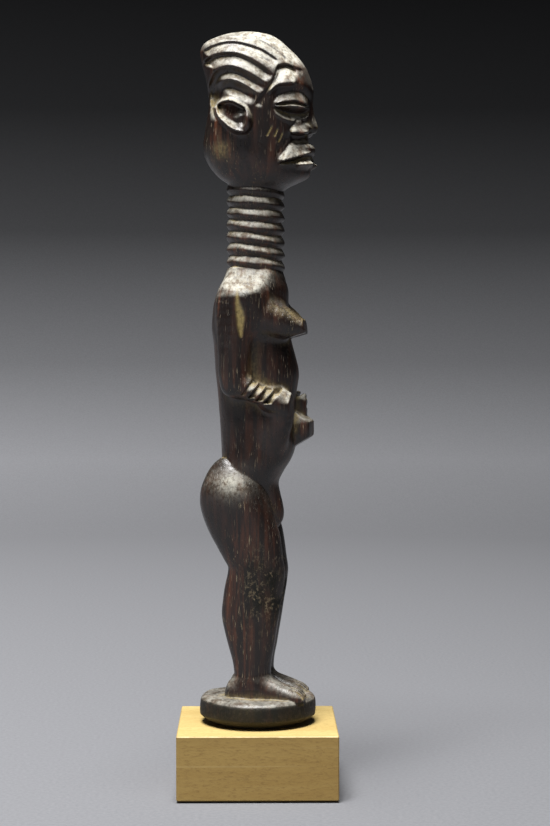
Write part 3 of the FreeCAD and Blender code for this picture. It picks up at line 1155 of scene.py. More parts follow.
    def carve_left_hand(self, billet: Billet) -> None:
        """Add a fist that reaches round to the middle of the belly, faceted by the knife.

        Args:
            billet: the billet that is carved.
        """
        low, high = (6.0, -8.0, 104.0), (25.5, 14.0, 136.0)
        billet.add(trimmed(rod(self.left_fist), self.fist_cuts, self.knife_ease), low, high, 0.7)
        billet.add(trimmed(rod(self.left_cuff), self.cuff_cuts, self.knife_ease), low, high, 0.4)
        for drop in self.cuff_drops:
            notch = [
                (14.0, 1.8, 125.6 - drop * 0.6, 0.5), (19.4, 3.4, 128.8 - drop, 0.7),
                (19.4, 8.0, 130.6 - drop, 0.7), (15.0, 12.0, 131.6 - drop, 0.6),
            ]
            billet.cut(rod(notch), low, high, self.line_ease)
        for y in self.finger_places:
            finger = [(22.4, y + 0.5, 121.2, 0.25), (22.2, y, 116.0, 0.45), (18.0, y, 112.4, 0.25)]
            billet.cut(rod(finger), low, high, self.finger_ease)


@dataclass(frozen=True)
class RingedNeck:
    """A straight neck cut into seven rounded rings that dip a little towards the front."""

    foot: float = 178.0
    roof: float = 218.0
    middle: float = -0.7
    radius: float = 11.75
    first_ring: float = 182.2
    pitch: float = 4.82
    depth: float = 1.45
    dip: float = 0.10
    crest: float = 0.42
    fall: float = 1.5
    slack: float = 0.8
    blend: float = 0.5
    waves: Rows = ((0.26, 2, 0.21), (0.16, 5, 0.9), (0.07, 11, 0.5))

    def carve(self, billet: Billet) -> None:
        """Add the neck.

        Args:
            billet: the billet that is carved.
        """
        billet.add(self.rings, (-16, -14, self.foot), (14, 14, self.roof), self.blend)

    def rings(self, x: Array, y: Array, z: Array) -> Array:
        """Measure the neck with its hand-cut rings.

        Args:
            x: coordinates along X.
            y: those along Y.
            z: those along Z.

        Returns:
            The distances.
        """
        turn = np.arctan2(y, x - self.middle)
        level = z + self.dip * (x - self.middle) + hand_cut(turn, self.waves, z)
        phase = (level - self.first_ring) / self.pitch
        share = phase - np.floor(phase)
        rise = np.sin(np.clip(share / self.crest, 0, 1) * math.pi / 2)
        fall = 1 - np.clip((share - self.crest) / (1 - self.crest), 0, 1) ** self.fall
        radius = self.radius - self.depth * (1 - np.where(share < self.crest, rise, fall))
        side = (np.hypot(x - self.middle, y) - radius) * self.slack
        return np.maximum(side, np.maximum(self.foot - z, z - self.roof))


@dataclass(frozen=True)
class HairBand:
    """The undercut line that sets off one band of hair from the next."""

    under: float
    back: float
    depth: float
    fade: float
    line: Line


@dataclass(frozen=True)
class Head:
    """An upright oval head with dressed hair, cupped ears, heavy-lidded eyes and full lips.

    Rows are (level, back, front, half width). Lines are places in the side view, and contours are
    (height, line) from the lowest line to the highest.
    """

    view: SideView = SideView()
    fullness: float = 2.3
    egg: float = 0.12
    blend: float = 0.5
    relief_cell: float = 0.2
    hair_bare: Place = (3.0, 6.0)
    face_bare: Place = (1.0, 4.0)
    ear_height: float = 3.0
    knob_height: float = 1.2
    scar_width: float = 0.5
    scar_depth: float = 0.5
    hair_line_width: float = 0.7
    nose_blend: float = 1.6
    wing: Place = (19.6, 3.9)
    wing_radii: Point = (2.7, 2.2, 2.1)
    wing_yaw: float = -0.35
    nose_level: float = 237.9
    under_nose: tuple[Point, Point] = ((21.0, 0.0, 235.9), (0.15, 0.0, -1.0))
    rows: Rows = (
        (213.4, -10.2, 10.6, 10.0), (214.6, -10.9, 12.2, 10.8), (216.6, -11.9, 16.2, 12.5),
        (218.5, -14.6, 19.9, 13.6), (222.0, -18.0, 21.2, 14.8), (226.0, -20.4, 21.0, 15.8),
        (231.0, -21.6, 20.6, 16.4), (236.0, -21.1, 20.6, 16.8), (242.0, -20.0, 21.0, 17.0),
        (248.0, -19.2, 21.5, 17.1), (253.0, -19.6, 22.4, 17.1), (258.0, -20.5, 21.3, 16.9),
        (262.5, -21.7, 19.4, 16.0), (266.0, -22.6, 16.8, 14.8), (269.8, -22.7, 13.0, 13.0),
        (272.2, -21.2, 10.5, 11.4), (273.7, -19.0, 8.8, 9.8), (275.0, -16.0, 6.6, 7.9),
        (276.2, -12.3, 3.4, 5.2), (277.0, -8.0, -1.0, 1.8),
    )
    hair_bands: tuple[HairBand, ...] = (
        HairBand(
            1.0, 3.4, 1.1, 0.1,
            (
                (-22.6, 268.1), (-21.7, 269.4), (-18.9, 271.2), (-15.5, 272.4), (-11.8, 273.0),
                (-8.1, 272.8), (-3.3, 271.6), (0.8, 270.2), (4.1, 268.4), (6.9, 266.4), (9.0, 264.9),
            ),
        ),
        HairBand(
            1.7, 3.6, 1.9, 0.12,
            (
                (-22.8, 262.9), (-21.6, 265.4), (-19.0, 267.2), (-16.0, 268.2), (-12.2, 268.6),
                (-8.8, 268.4), (-5.2, 267.2), (-1.5, 265.3), (1.7, 263.3), (4.2, 261.3), (6.6, 259.3),
            ),
        ),
        HairBand(
            3.0, 2.3, 2.4, 0.18,
            (
                (-20.6, 246.9), (-20.4, 252.4), (-19.6, 257.2), (-17.4, 261.2), (-13.1, 263.2),
                (-8.6, 262.8), (-4.0, 260.9), (0.1, 258.5), (3.8, 256.1), (5.0, 254.9),
            ),
        ),
        HairBand(
            3.6, 2.7, 2.7, 0.2,
            (
                (-19.6, 241.0), (-19.2, 247.2), (-18.6, 251.8), (-16.7, 256.0), (-13.1, 257.9),
                (-9.3, 257.6), (-5.4, 255.9), (-2.3, 254.0), (0.6, 251.9), (1.6, 251.0),
            ),
        ),
    )
    hair_lines: tuple[tuple[Line, float], ...] = (
        (((-1.0, 273.8), (2.3, 272.2), (5.5, 270.2), (8.7, 267.8), (11.9, 265.0)), 0.65),
        (((4.7, 274.2), (8.7, 271.4), (12.3, 268.2), (15.5, 265.0)), 0.65),
        (((-7.4, 269.8), (-3.4, 269.0), (1.4, 266.6), (4.7, 264.2)), 0.4),
        (((-20.0, 270.8), (-14.0, 274.0), (-7.0, 274.6), (-1.0, 273.8)), 0.45),
    )
    hairline: Line = (
        (18.6, 261.6), (15.5, 262.6), (13.1, 263.4), (9.9, 263.6), (7.3, 263.2), (7.5, 261.0), (6.7, 258.6),
        (4.7, 256.1), (2.7, 254.1), (1.0, 252.1), (-0.6, 249.7), (-1.8, 247.3),
    )
    forehead: Contours = (
        (0.0, ((3.4, 250.6), (7.1, 254.6), (10.7, 255.2), (15.8, 255.4))),
        (1.7, ((3.4, 252.2), (7.1, 255.6), (10.7, 256.4), (15.8, 256.6))),
        (-1.2, ((3.4, 254.4), (6.2, 258.6), (8.0, 262.7), (12.2, 263.0), (15.8, 259.4))),
        (0.0, ((3.4, 254.6), (6.4, 259.4), (8.0, 263.5), (12.4, 263.8), (15.8, 260.4))),
    )
    ear: Line = (
        (-17.5, 246.5), (-15.8, 249.1), (-13.0, 250.3), (-10.2, 249.9), (-7.4, 248.5), (-4.6, 246.3),
        (-3.0, 242.9), (-3.0, 239.2), (-4.6, 236.8), (-7.4, 236.2), (-10.6, 237.2), (-13.8, 240.1),
        (-16.6, 243.3),
    )
    ear_hollow: Contours = (
        (0.0, ((-17.2, 244.0), (-14.6, 239.8), (-10.4, 237.1), (-4.6, 235.4))),
        (0.9, ((-17.2, 245.0), (-14.3, 240.9), (-10.2, 238.2), (-4.6, 236.6))),
        (-2.5, ((-17.2, 245.8), (-13.9, 243.3), (-10.0, 240.9), (-4.6, 240.2))),
        (-3.2, ((-17.2, 246.6), (-14.6, 247.8), (-11.4, 248.5), (-8.4, 247.3), (-4.6, 245.2))),
        (0.3, ((-17.2, 247.2), (-14.8, 248.8), (-11.4, 249.4), (-8.2, 248.2), (-4.6, 246.4))),
        (0.0, ((-17.2, 248.2), (-14.8, 249.8), (-11.4, 250.4), (-8.2, 249.2), (-4.6, 247.4))),
    )
    ear_knob: Line = (
        (-9.4, 242.4), (-7.4, 244.4), (-4.4, 243.8), (-3.4, 241.0), (-5.0, 238.4), (-7.8, 239.0),
    )
    eye: Contours = (
        (0.0, ((4.0, 246.2), (8.0, 242.2), (13.4, 239.6), (17.8, 240.0), (22.2, 243.8))),
        (0.6, ((4.4, 247.0), (8.2, 243.5), (13.4, 241.4), (17.6, 241.8), (21.8, 245.0))),
        (-2.2, ((5.2, 247.3), (9.5, 245.3), (13.4, 244.2), (17.2, 244.3), (21.4, 246.0))),
        (1.6, ((5.4, 247.4), (9.5, 247.2), (12.7, 247.4), (16.2, 247.1), (21.2, 246.2))),
        (-0.7, ((5.4, 247.5), (9.5, 248.1), (12.7, 248.6), (16.2, 248.3), (21.2, 246.4))),
        (1.5, ((5.4, 247.7), (9.5, 248.8), (12.7, 249.2), (16.2, 248.9), (21.2, 246.8))),
        (-1.2, ((4.8, 248.6), (8.4, 251.6), (13.4, 253.1), (17.6, 252.2), (21.6, 248.6))),
        (0.0, ((3.6, 249.6), (7.1, 254.6), (10.7, 256.0), (14.5, 256.3), (18.3, 255.5), (22.2, 252.2))),
    )
    nose_wing: Contours = (
        (0.0, ((12.4, 231.0), (16.0, 231.6), (21.0, 231.8))),
        (-1.6, ((12.4, 234.6), (16.0, 234.4), (21.0, 234.6))),
        (-1.2, ((12.4, 236.0), (14.1, 235.7), (18.7, 235.7), (21.0, 236.4))),
        (2.4, ((12.4, 236.8), (14.1, 236.5), (18.7, 236.5), (21.0, 237.4))),
        (-0.7, ((12.4, 238.0), (15.4, 241.6), (18.7, 241.0), (21.0, 238.4))),
        (0.0, ((12.4, 238.8), (15.4, 242.4), (18.7, 241.8), (21.0, 239.0))),
    )
    scars: tuple[Line, ...] = (
        ((5.5, 239.7), (4.5, 237.5), (3.3, 235.2)),
        ((7.7, 238.4), (7.1, 236.7), (6.3, 235.0)),
        ((9.7, 236.8), (8.9, 234.8), (7.9, 232.8)),
    )
    cheek_fold: Line = ((12.6, 237.0), (10.6, 233.4), (8.6, 229.8), (7.4, 226.4))
    upper_lip: Contours = (
        (0.0, ((7.6, 222.0), (13.0, 221.4), (18.0, 221.2), (24.6, 221.8))),
        (0.2, ((7.6, 223.4), (13.0, 223.0), (18.0, 222.6), (24.6, 223.0))),
        (1.0, ((7.6, 224.0), (13.0, 224.0), (18.0, 223.8), (24.6, 224.2))),
        (-1.3, ((7.6, 224.4), (10.3, 224.9), (13.5, 225.5), (16.7, 226.3), (19.9, 227.1), (24.6, 227.8))),
        (2.5, ((7.6, 224.8), (10.3, 225.4), (13.5, 226.2), (16.7, 227.2), (19.9, 228.2), (24.6, 229.2))),
        (-0.6, (
            (7.6, 226.0), (10.3, 229.2), (12.5, 232.4), (14.2, 233.3), (17.1, 232.6), (19.9, 231.4),
            (24.6, 230.0),
        )),
        (0.0, (
            (7.6, 227.2), (10.0, 230.6), (12.3, 233.8), (14.2, 234.8), (17.1, 234.0), (19.9, 232.6),
            (24.6, 231.0),
        )),
    )
    lower_lip: Contours = (
        (0.0, ((14.0, 222.2), (18.0, 221.6), (24.6, 222.2))),
        (2.4, ((14.0, 224.4), (18.0, 224.2), (24.6, 224.4))),
        (0.0, ((14.0, 225.6), (18.0, 227.2), (24.6, 227.8))),
    )
    bridge: Rows = (
        (21.0, 0, 252.5, 1.4), (20.5, 0, 247.5, 1.9), (20.9, 0, 242.2, 2.3), (21.8, 0, 238.2, 2.6),
    )
    upper_bow: Rows = ((17.4, 7.4, 229.4, 1.8), (19.8, 3.8, 229.4, 2.7), (20.6, 0, 229.4, 2.8))
    lower_bow: Rows = ((17.6, 6.4, 224.9, 1.2), (19.9, 3.2, 224.9, 2.0), (20.6, 0, 224.9, 2.2))
    mouth_slit: Rows = ((18.6, 8.2, 226.9, 0.5), (21.8, 4.0, 227.2, 0.6), (23.2, 0, 227.2, 0.6))

    def carve(self, billet: Billet) -> None:
        """Rough out the head, press the fine work into both flanks, then add nose and lips.

        Args:
            billet: the billet that is carved.
        """
        low, high = (-25.4, -24.0, 212.0), (25.4, 24.0, 278.5)
        billet.add(upright(self.rows, 0.0, self.fullness, self.egg), low, high, self.blend)
        hair = ((self.draw_hair, self.draw_ear), self.hair_bare)
        face = ((self.draw_eye, self.draw_cheek, self.draw_mouth), self.face_bare)
        for works, bare in (hair, face):
            relief = Relief((-26.0, 212.0), (27.0, 279.0), self.relief_cell)
            for work in works:
                work(relief)
            billet.press(relief, self.view, low, high, bare)
        self.carve_nose(billet)
        self.carve_mouth(billet)

    def draw_hair(self, relief: Relief) -> None:
        """Step the bands of hair one under another, and end them at the hairline.

        Args:
            relief: the relief that is drawn.
        """
        for band in self.hair_bands:
            relief.ledge(band.line, band.under, band.back, band.depth, fade=band.fade)
        for line, depth in self.hair_lines:
            relief.stroke(line, self.hair_line_width, -depth)
        relief.ledge(self.hairline, 0.8, 3.4, 0.9, outward=1)
        relief.terrace(self.forehead, 1.5)

    def draw_ear(self, relief: Relief) -> None:
        """Raise a cupped ear with its hollow and the knob in front.

        Args:
            relief: the relief that is drawn.
        """
        relief.patch(self.ear, self.ear_height, 1.6)
        relief.terrace(self.ear_hollow, 1.8)
        relief.patch(self.ear_knob, self.knob_height, 2.4)

    def draw_eye(self, relief: Relief) -> None:
        """Undercut the brow, and leave a heavy lid over a half-closed eye with a raised lower rim."""
        relief.terrace(self.eye, 2.6)

    def draw_cheek(self, relief: Relief) -> None:
        """Three short scars on the cheek, a flat nose wing and a fold from nose to mouth.

        Args:
            relief: the relief that is drawn.
        """
        for scar in self.scars:
            relief.stroke(scar, self.scar_width, -self.scar_depth)
        relief.terrace(self.nose_wing, 1.2)
        relief.stroke(self.cheek_fold, 2.2, -1.0, taper=0.25)

    def draw_mouth(self, relief: Relief) -> None:
        """A broad upper lip that runs back to a sharp corner, over a short lower lip."""
        relief.terrace(self.upper_lip, 2.4)
        relief.terrace(self.lower_lip, 3.0)

    def carve_nose(self, billet: Billet) -> None:
        """Add a straight nose, broad at its wings and cut flat underneath.

        Args:
            billet: the billet that is carved.
        """
        low, high = (10, -9, 228), (26, 9, 256)
        x, y = self.wing
        wings = [
            pebble((x, side.value * y, self.nose_level), self.wing_radii, side.value * self.wing_yaw)
            for side in Side
        ]
        nose = trimmed(either(rod(self.bridge), *wings), [self.under_nose])
        billet.add(nose, low, high, self.nose_blend)
        for side in Side:
            nostril = pebble((20.8, side.value * 2.6, 235.7), (1.2, 0.9, 1.0))
            billet.cut(nostril, low, high, 0.5)

    def carve_mouth(self, billet: Billet) -> None:
        """Add the front of both lips, which stands out in a blunt point, and part them.

        Args:
            billet: the billet that is carved.
        """
        low, high = (14, -11, 218), (26, 11, 238)
        bows = (self.upper_bow, self.lower_bow, self.mouth_slit)
        upper, lower, slit = (
            rod(mirrored(half, Side.RIGHT) + mirrored(half[:-1], Side.LEFT)[::-1]) for half in bows
        )
        billet.add(upper, low, high, 1.2)
        billet.add(lower, low, high, 0.9)
        billet.cut(slit, low, high, 0.3)


@dataclass(frozen=True)
class Gouge:
    """A long chip out of the right upper arm, where pale wood shows."""

    outline: Line = (
        (-8.6, 174.1), (-7.8, 169.3), (-6.6, 166.5), (-5.8, 163.3), (-6.2, 159.2), (-7.0, 154.8),
        (-8.2, 158.0), (-8.8, 163.3), (-9.2, 169.3),
    )

    def carve(self, billet: Billet) -> None:
        """Sink the chip into the arm.

        Args:
            billet: the billet that is carved.
        """
        chip = self.drawn(-0.45, 1.0)
        billet.press(chip, SideView(), (-14.0, -24.0, 150.0), (2.0, -8.0, 178.0), (1.0, 4.0))

    def drawn(self, height: float, soft: float) -> Relief:
        """Draw the chip over the side view.

        Args:
            height: height inside its outline.
            soft: width of its soft edge.

        Returns:
            The relief.
        """
        relief = Relief((-12.0, 150.0), (-2.0, 178.0), 0.25)
        relief.patch(self.outline, height, soft)
        return relief


# ---------------------------------------------------------------------------------------------------
# Finishes
# ---------------------------------------------------------------------------------------------------
class Paint:
    """A node material being mixed, with short calls for the nodes that the finishes share."""

    def __init__(self, name: str) -> None:
        """Start a material with one shader wired to its output.

        Args:
            name: the material's name.
        """
        self.material = bpy.data.materials.new(name)
        self.material.use_nodes = True
        self.tree = self.material.node_tree
        self.tree.nodes.clear()
        self.shader = self.tree.nodes.new("ShaderNodeBsdfPrincipled")
        output = self.tree.nodes.new("ShaderNodeOutputMaterial")
        self.tree.links.new(self.shader.outputs[0], output.inputs["Surface"])
        self.coordinates = self.tree.nodes.new("ShaderNodeTexCoord").outputs["Object"]

    def node(self, kind: str, inputs: dict[str | int, object], **settings: object) -> bpy.types.Node:
        """Add a node.

        Args:
            kind: Blender's name for the kind of node.
            inputs: values or sockets for its inputs.
            settings: its other options.

        Returns:
            The node.
        """
        node = self.tree.nodes.new(kind)
        for name, value in settings.items():
            setattr(node, name, value)
        for name, value in inputs.items():
            self.put(node.inputs[name], value)
        return node

    def put(self, socket: Socket, value: object) -> None:
        """Fill a socket.

        Args:
            socket: the socket.
            value: another socket to wire in, or a plain value.
        """
        if isinstance(value, Socket):
            self.tree.links.new(value, socket)
        else:
            socket.default_value = value

    def set(self, **values: object) -> None:
        """Set or wire the shader's sockets, named with underscores for spaces."""
        for name, value in values.items():
            self.put(self.shader.inputs[name.replace("_", " ")], value)

    def noise(
        self,
        scale: Point,
        detail: float = 3.0,
        rough: float = 0.55,
        warp: float = 0.0,
        offset: Point = (0, 0, 0),
        turn: Point = (0, 0, 0),
    ) -> Socket:
        """Add fractal noise.

        Args:
            scale: lumps per metre along X, Y and Z, so that grain can run one way.
            detail: number of finer layers.
            rough: how strong they are.
            warp: how much the noise is twisted.
            offset: where in the noise it starts.
            turn: how it is turned about X, Y and Z.

        Returns:
            The noise, between 0 and 1.
        """
        place = {"Vector": self.coordinates, "Scale": scale, "Rotation": turn, "Location": offset}
        where = self.node("ShaderNodeMapping", place).outputs[0]
        inputs = {"Vector": where, "Scale": 1.0, "Detail": detail, "Roughness": rough, "Distortion": warp}
        return self.node("ShaderNodeTexNoise", inputs).outputs["Fac"]

    def band(self, value: Socket, low: float, high: float, start: float = 0.0, end: float = 1.0) -> Socket:
        """Map a value from between low and high to between start and end, smoothly."""
        inputs = {"Value": value, "From Min": low, "From Max": high, "To Min": start, "To Max": end}
        return self.node("ShaderNodeMapRange", inputs, interpolation_type="SMOOTHSTEP").outputs["Result"]

    def join(self, how: Join, a: object, b: object) -> Socket:
        """Combine two values, kept between 0 and 1."""
        return self.node("ShaderNodeMath", {0: a, 1: b}, operation=how.value, use_clamp=True).outputs[0]

    def mix(self, share: object, a: object, b: object, how: str = "MIX") -> Socket:
        """Mix two colours.

        Args:
            share: how much of the second colour is taken.
            a: the first colour.
            b: the second colour.
            how: Blender's name for the way they are mixed.

        Returns:
            The mixed colour.
        """
        colours = [value if isinstance(value, Socket) else (*value, 1.0) for value in (a, b)]
        node = self.node("ShaderNodeMix", {}, data_type="RGBA", blend_type=how)
        for socket, value in zip((node.inputs[0], node.inputs[6], node.inputs[7]), (share, *colours)):
            self.put(socket, value)
        return node.outputs[2]

    def noted(self, name: str, crumbs: Socket, low: float, high: float, least: float) -> Socket:
        """A value that the mesh carries at its points, broken up by crumbs that keep at least a share."""
        kept = self.node("ShaderNodeAttribute", {}, attribute_name=name).outputs["Fac"]
        return self.join(Join.TIMES, kept, self.band(crumbs, low, high, least))

    def axis(self, vector: Socket, name: str) -> Socket:
        """One coordinate of a vector."""
        return self.node("ShaderNodeSeparateXYZ", {0: vector}).outputs[name]

    def bump(self, height: Socket, distance: float, strength: float, under: Socket | None = None) -> Socket:
        """Bump the surface.

        Args:
            height: height of the surface, between 0 and 1.
            distance: how high that is in metres.
            strength: how strongly it shows.
            under: another bump that this one lies over.

        Returns:
            The bumped normal.
        """
        inputs = {"Height": height, "Distance": distance, "Strength": strength}
        if under is not None:
            inputs["Normal"] = under
        return self.node("ShaderNodeBump", inputs).outputs[0]


@dataclass(frozen=True)
class OiledHardwood:
    """Near-black hardwood: red-brown streaks, open pores, pale dust in the cuts and a handled shine, with a
    pale film on faces that look up which is partly settled dust and partly painted highlight, painted shade
    round the plate's rim and a painted reflection of the block on the plate's bevel.
    """

    dark: Colour = (0.0080, 0.0048, 0.0040)
    brown: Colour = (0.023, 0.0098, 0.0064)
    red: Colour = (0.078, 0.026, 0.0120)
    pore_dust: Colour = (0.23, 0.18, 0.11)
    # Dust colour: real dust in the cuts, and a painted reflection of the block on the plate's bevel.
    dust_and_bevel_reflection: Colour = (0.25, 0.19, 0.075)
    # Pale film colour: settled dust, and painted highlight on faces that look up.
    settled_and_highlight: Colour = (0.52, 0.50, 0.425)
    stain: Colour = (0.21, 0.17, 0.12)
    fresh: Colour = (0.25, 0.19, 0.075)
    # Dark crust on the knees; round the plate's rim this colour is painted shade.
    crust_and_rim_shade: Colour = (0.0085, 0.0098, 0.0075)

    def make(self) -> bpy.types.Material:
        """Mix the finish.

        Returns:
            The material.
        """
        paint = Paint("oiled_hardwood")
        times, larger, less, plus = Join.TIMES, Join.LARGER, Join.LESS, Join.PLUS
        cloud = paint.noise((70, 70, 22), offset=(3, 1, 7))
        crumbs = paint.noise((900, 900, 700), 4.0, 0.7, offset=(2, 8, 5))
        pores = paint.noise((2300, 2300, 170), 1.5, 0.5, offset=(9, 4, 2))
        pore = paint.band(pores, 0.63, 0.71)
        colour = self.bare_wood(paint, cloud, pore)

        # Pale film: settled dust on faces that look up, and painted highlight on the thighs, shoulders, hand
        # tops and neck rings.
        film_and_highlight = paint.noted("settled_and_highlight", crumbs, 0.30, 0.56, 0.30)
        film_and_highlight = paint.join(times, film_and_highlight, paint.band(cloud, 0.30, 0.55, 0.55))
        stains = paint.noise((330, 330, 260), 4.0, 0.7, offset=(6, 1, 4))
        stained = paint.mix(paint.band(stains, 0.42, 0.66), self.settled_and_highlight, self.stain)
        colour = paint.mix(film_and_highlight, colour, stained)
        # Dust in the cuts, and the painted reflection on the plate's bevel.
        dusty_and_reflected = paint.noted("dust_and_bevel_reflection", crumbs, 0.38, 0.60, 0.3)
        colour = paint.mix(dusty_and_reflected, colour, self.dust_and_bevel_reflection)
        # Crust on the knees, and painted shade round the plate's rim.
        crusted_and_shaded = paint.noted("crust_and_rim_shade", crumbs, 0.30, 0.52, 0.5)
        colour = paint.mix(crusted_and_shaded, colour, self.crust_and_rim_shade)
        spots = paint.noise((620, 620, 520), 5.0, 0.75, offset=(7, 3, 1))
        flecks = paint.join(times, crusted_and_shaded, paint.band(spots, 0.52, 0.62, 0.0, 0.75))
        above_plate = paint.band(paint.axis(paint.coordinates, "Z"), 0.038, 0.046, 0.1)
        colour = paint.mix(paint.join(times, flecks, above_plate), colour, self.pore_dust)
        worn = paint.noted("worn", crumbs, 0.30, 0.55, 0.5)
        colour = paint.mix(worn, colour, self.fresh)

        matt = paint.join(larger, paint.join(times, dusty_and_reflected, 0.6), paint.join(times, crusted_and_shaded, 0.35))
        matt = paint.join(larger, matt, paint.join(times, film_and_highlight, 0.32))
        rough = paint.join(plus, paint.band(cloud, 0.35, 0.65, 0.27, 0.40), matt)
        rough = paint.join(plus, rough, paint.join(times, pore, 0.3))
        shine = paint.join(less, 0.5, paint.join(times, film_and_highlight, 0.42))
        shine = paint.join(less, shine, paint.join(times, crusted_and_shaded, 0.38))

        tools = paint.noise((260, 260, 130), 2.0, 0.5, offset=(1, 5, 3))
        pits = paint.noise((1500, 1500, 700), 2.0, 0.5, offset=(4, 4, 9))
        bump = paint.bump(tools, 0.0004, 0.4)
        bump = paint.bump(paint.join(less, 1.0, pore), 0.00014, 0.7, bump)
        bump = paint.bump(paint.band(pits, 0.30, 0.42), 0.00012, 0.5, bump)
        bump = paint.bump(crumbs, 0.0001, 0.25, bump)
        paint.set(Base_Color=colour, Roughness=rough, Normal=bump, IOR=1.55, Specular_IOR_Level=shine)
        return paint.material

    def bare_wood(self, paint: Paint, cloud: Socket, pore: Socket) -> Socket:
        """Mix the wood under all that lies on it.

        Args:
            paint: the material being mixed.
            cloud: broad changes from area to area.
            pore: where the pores lie.

        Returns:
            The wood's colour.
        """
        grain = paint.noise((420, 420, 20), 4.0, 0.6, 0.4)
        colour = paint.mix(paint.band(grain, 0.36, 0.66), self.dark, self.brown)
        streak = paint.join(Join.TIMES, paint.band(grain, 0.46, 0.70), paint.band(cloud, 0.40, 0.62))
        colour = paint.mix(streak, colour, self.red)
        pale_pore = paint.join(Join.TIMES, pore, paint.band(cloud, 0.36, 0.60, 0.08, 0.75))
        return paint.mix(pale_pore, colour, self.pore_dust)


@dataclass(frozen=True)
class PaleBlockWood:
    """Pale, close-grained wood, bright on top, with painted shade that makes it darker and browner down its
    sides.
    """

    light: Colour = (0.515, 0.385, 0.150)
    dark: Colour = (0.450, 0.320, 0.112)
    fleck: Colour = (0.26, 0.165, 0.055)
    scratch: Colour = (0.60, 0.48, 0.24)
    # Painted shade: the sides are multiplied by this to look darker than the top.
    painted_side_shade: Colour = (0.66, 0.58, 0.44)

    def make(self) -> bpy.types.Material:
        """Mix the finish: the grain runs along X.

        Returns:
            The material.
        """
        paint = Paint("pale_block_wood")
        growth = paint.noise((12, 70, 130), 4.0, 0.65, 0.5)
        fibre = paint.noise((420, 900, 1300), 4.0, 0.7, offset=(4, 2, 6))
        blotch = paint.noise((110, 110, 90), 4.0, 0.6, offset=(1, 7, 3))
        colour = paint.mix(paint.band(growth, 0.35, 0.68), self.light, self.dark)
        colour = paint.mix(paint.band(fibre, 0.46, 0.72, 0.0, 0.55), colour, self.fleck)
        colour = paint.mix(paint.band(blotch, 0.50, 0.75, 0.0, 0.35), colour, self.dark)
        lines = paint.noise((6, 50, 900), 1.0, 0.5, offset=(5, 5, 1), turn=(0, 0.03, 0))
        colour = paint.mix(paint.band(lines, 0.70, 0.74, 0.0, 0.5), colour, self.scratch)
        # Painted shade: faces that do not look up are darker and browner.
        facing = paint.node("ShaderNodeNewGeometry", {}).outputs["True Normal"]
        side = paint.mix(1.0, colour, self.painted_side_shade, "MULTIPLY")
        colour = paint.mix(paint.band(paint.axis(facing, "Z"), 0.3, 0.9), side, colour)
        rough = paint.band(fibre, 0.3, 0.7, 0.50, 0.66)
        paint.set(Base_Color=colour, Roughness=rough, Normal=paint.bump(fibre, 0.0001, 0.6))
        return paint.material


@dataclass(frozen=True)
class PaperWithPaintedShade:
    """Matt pale studio paper with painted shade: darker up the wall and towards +X, standing in for the
    lamp's falloff.
    """

    pale: Colour = (0.255, 0.257, 0.271)
    mottle: float = 0.88
    # How far the painted shade darkens the paper towards +X.
    fall: float = 0.5
    # Painted shade: tone by height, brightest just above the floor and darker up the wall.
    shade_grades: tuple[Place, ...] = (
        (0.0, 0.89), (0.05, 1.0), (0.15, 0.537), (0.23, 0.35), (0.31, 0.163), (0.475, 0.056), (0.65, 0.027),
    )

    def make(self) -> bpy.types.Material:
        """Mix the finish.

        Returns:
            The material.
        """
        paint = Paint("paper_with_painted_shade")
        fibre = paint.noise((620, 620, 620), 3.0, 0.7)
        mottled = tuple(self.mottle * value for value in self.pale)
        sheet = paint.mix(paint.band(fibre, 0.3, 0.7), self.pale, mottled)
        # Painted shade: darker towards +X.
        along = paint.band(paint.axis(paint.coordinates, "X"), -0.9, 0.9, 0.0, self.fall)
        sheet = paint.mix(along, sheet, (0.0, 0.0, 0.0))
        ramp = paint.node("ShaderNodeValToRGB", {"Fac": paint.axis(paint.coordinates, "Z")})
        stops = ramp.color_ramp.elements
        while len(stops) < len(self.shade_grades):
            stops.new(0.5)
        for stop, (place, tone) in zip(stops, self.shade_grades):
            stop.position = place
            stop.color = (tone, tone, tone, 1.0)
        colour = paint.mix(1.0, sheet, ramp.outputs[0], "MULTIPLY")
        paint.set(Base_Color=colour, Roughness=0.9, Specular_IOR_Level=0.0)
        return paint.material


@dataclass(frozen=True)
class DrawnSteel:
    """Steel rod with fine draw lines along it."""

    bright: Colour = (0.62, 0.61, 0.59)
    dull: Colour = (0.42, 0.41, 0.39)

    def make(self) -> bpy.types.Material:
        """Mix the finish.

        Returns:
            The material.
        """
        paint = Paint("drawn_steel")
        lines = paint.noise((5200, 5200, 90), 2.0)
        stain = paint.noise((240, 240, 160), 3.0)
        colour = paint.mix(paint.band(stain, 0.4, 0.65), self.bright, self.dull)
        rough = paint.band(lines, 0.3, 0.7, 0.22, 0.38)
        paint.set(Base_Color=colour, Roughness=rough, Metallic=1.0, Normal=paint.bump(lines, 0.00002, 0.5))
        return paint.material


@dataclass(frozen=True)
class PressedFelt:
    """Dark pressed felt with a hairy surface."""

    dark: Colour = (0.018, 0.018, 0.016)
    pale: Colour = (0.060, 0.060, 0.052)

    def make(self) -> bpy.types.Material:
        """Mix the finish.

        Returns:
            The material.
        """
        paint = Paint("pressed_felt")
        hairs = paint.noise((3200, 3200, 2600), 5.0, 0.75, 1.5)
        colour = paint.mix(paint.band(hairs, 0.4, 0.7), self.dark, self.pale)
        paint.set(Base_Color=colour, Roughness=0.95, Sheen_Weight=0.3, Normal=paint.bump(hairs, 0.0002, 0.8))
        return paint.material


# ---------------------------------------------------------------------------------------------------
# The pieces
# ---------------------------------------------------------------------------------------------------
@dataclass(frozen=True)
class Spot:
    """A soft-edged place, in the side view or along X and Z."""

    middle: Place
    reach: Place
    share: float
    power: int = 4

    def read(self, along: Array, up: Array) -> Array:
        """How strongly the spot shows at places."""
        across, above = (along - self.middle[0]) / self.reach[0], (up - self.middle[1]) / self.reach[1]
        return self.share * np.exp(-(across**self.power) - above**self.power)


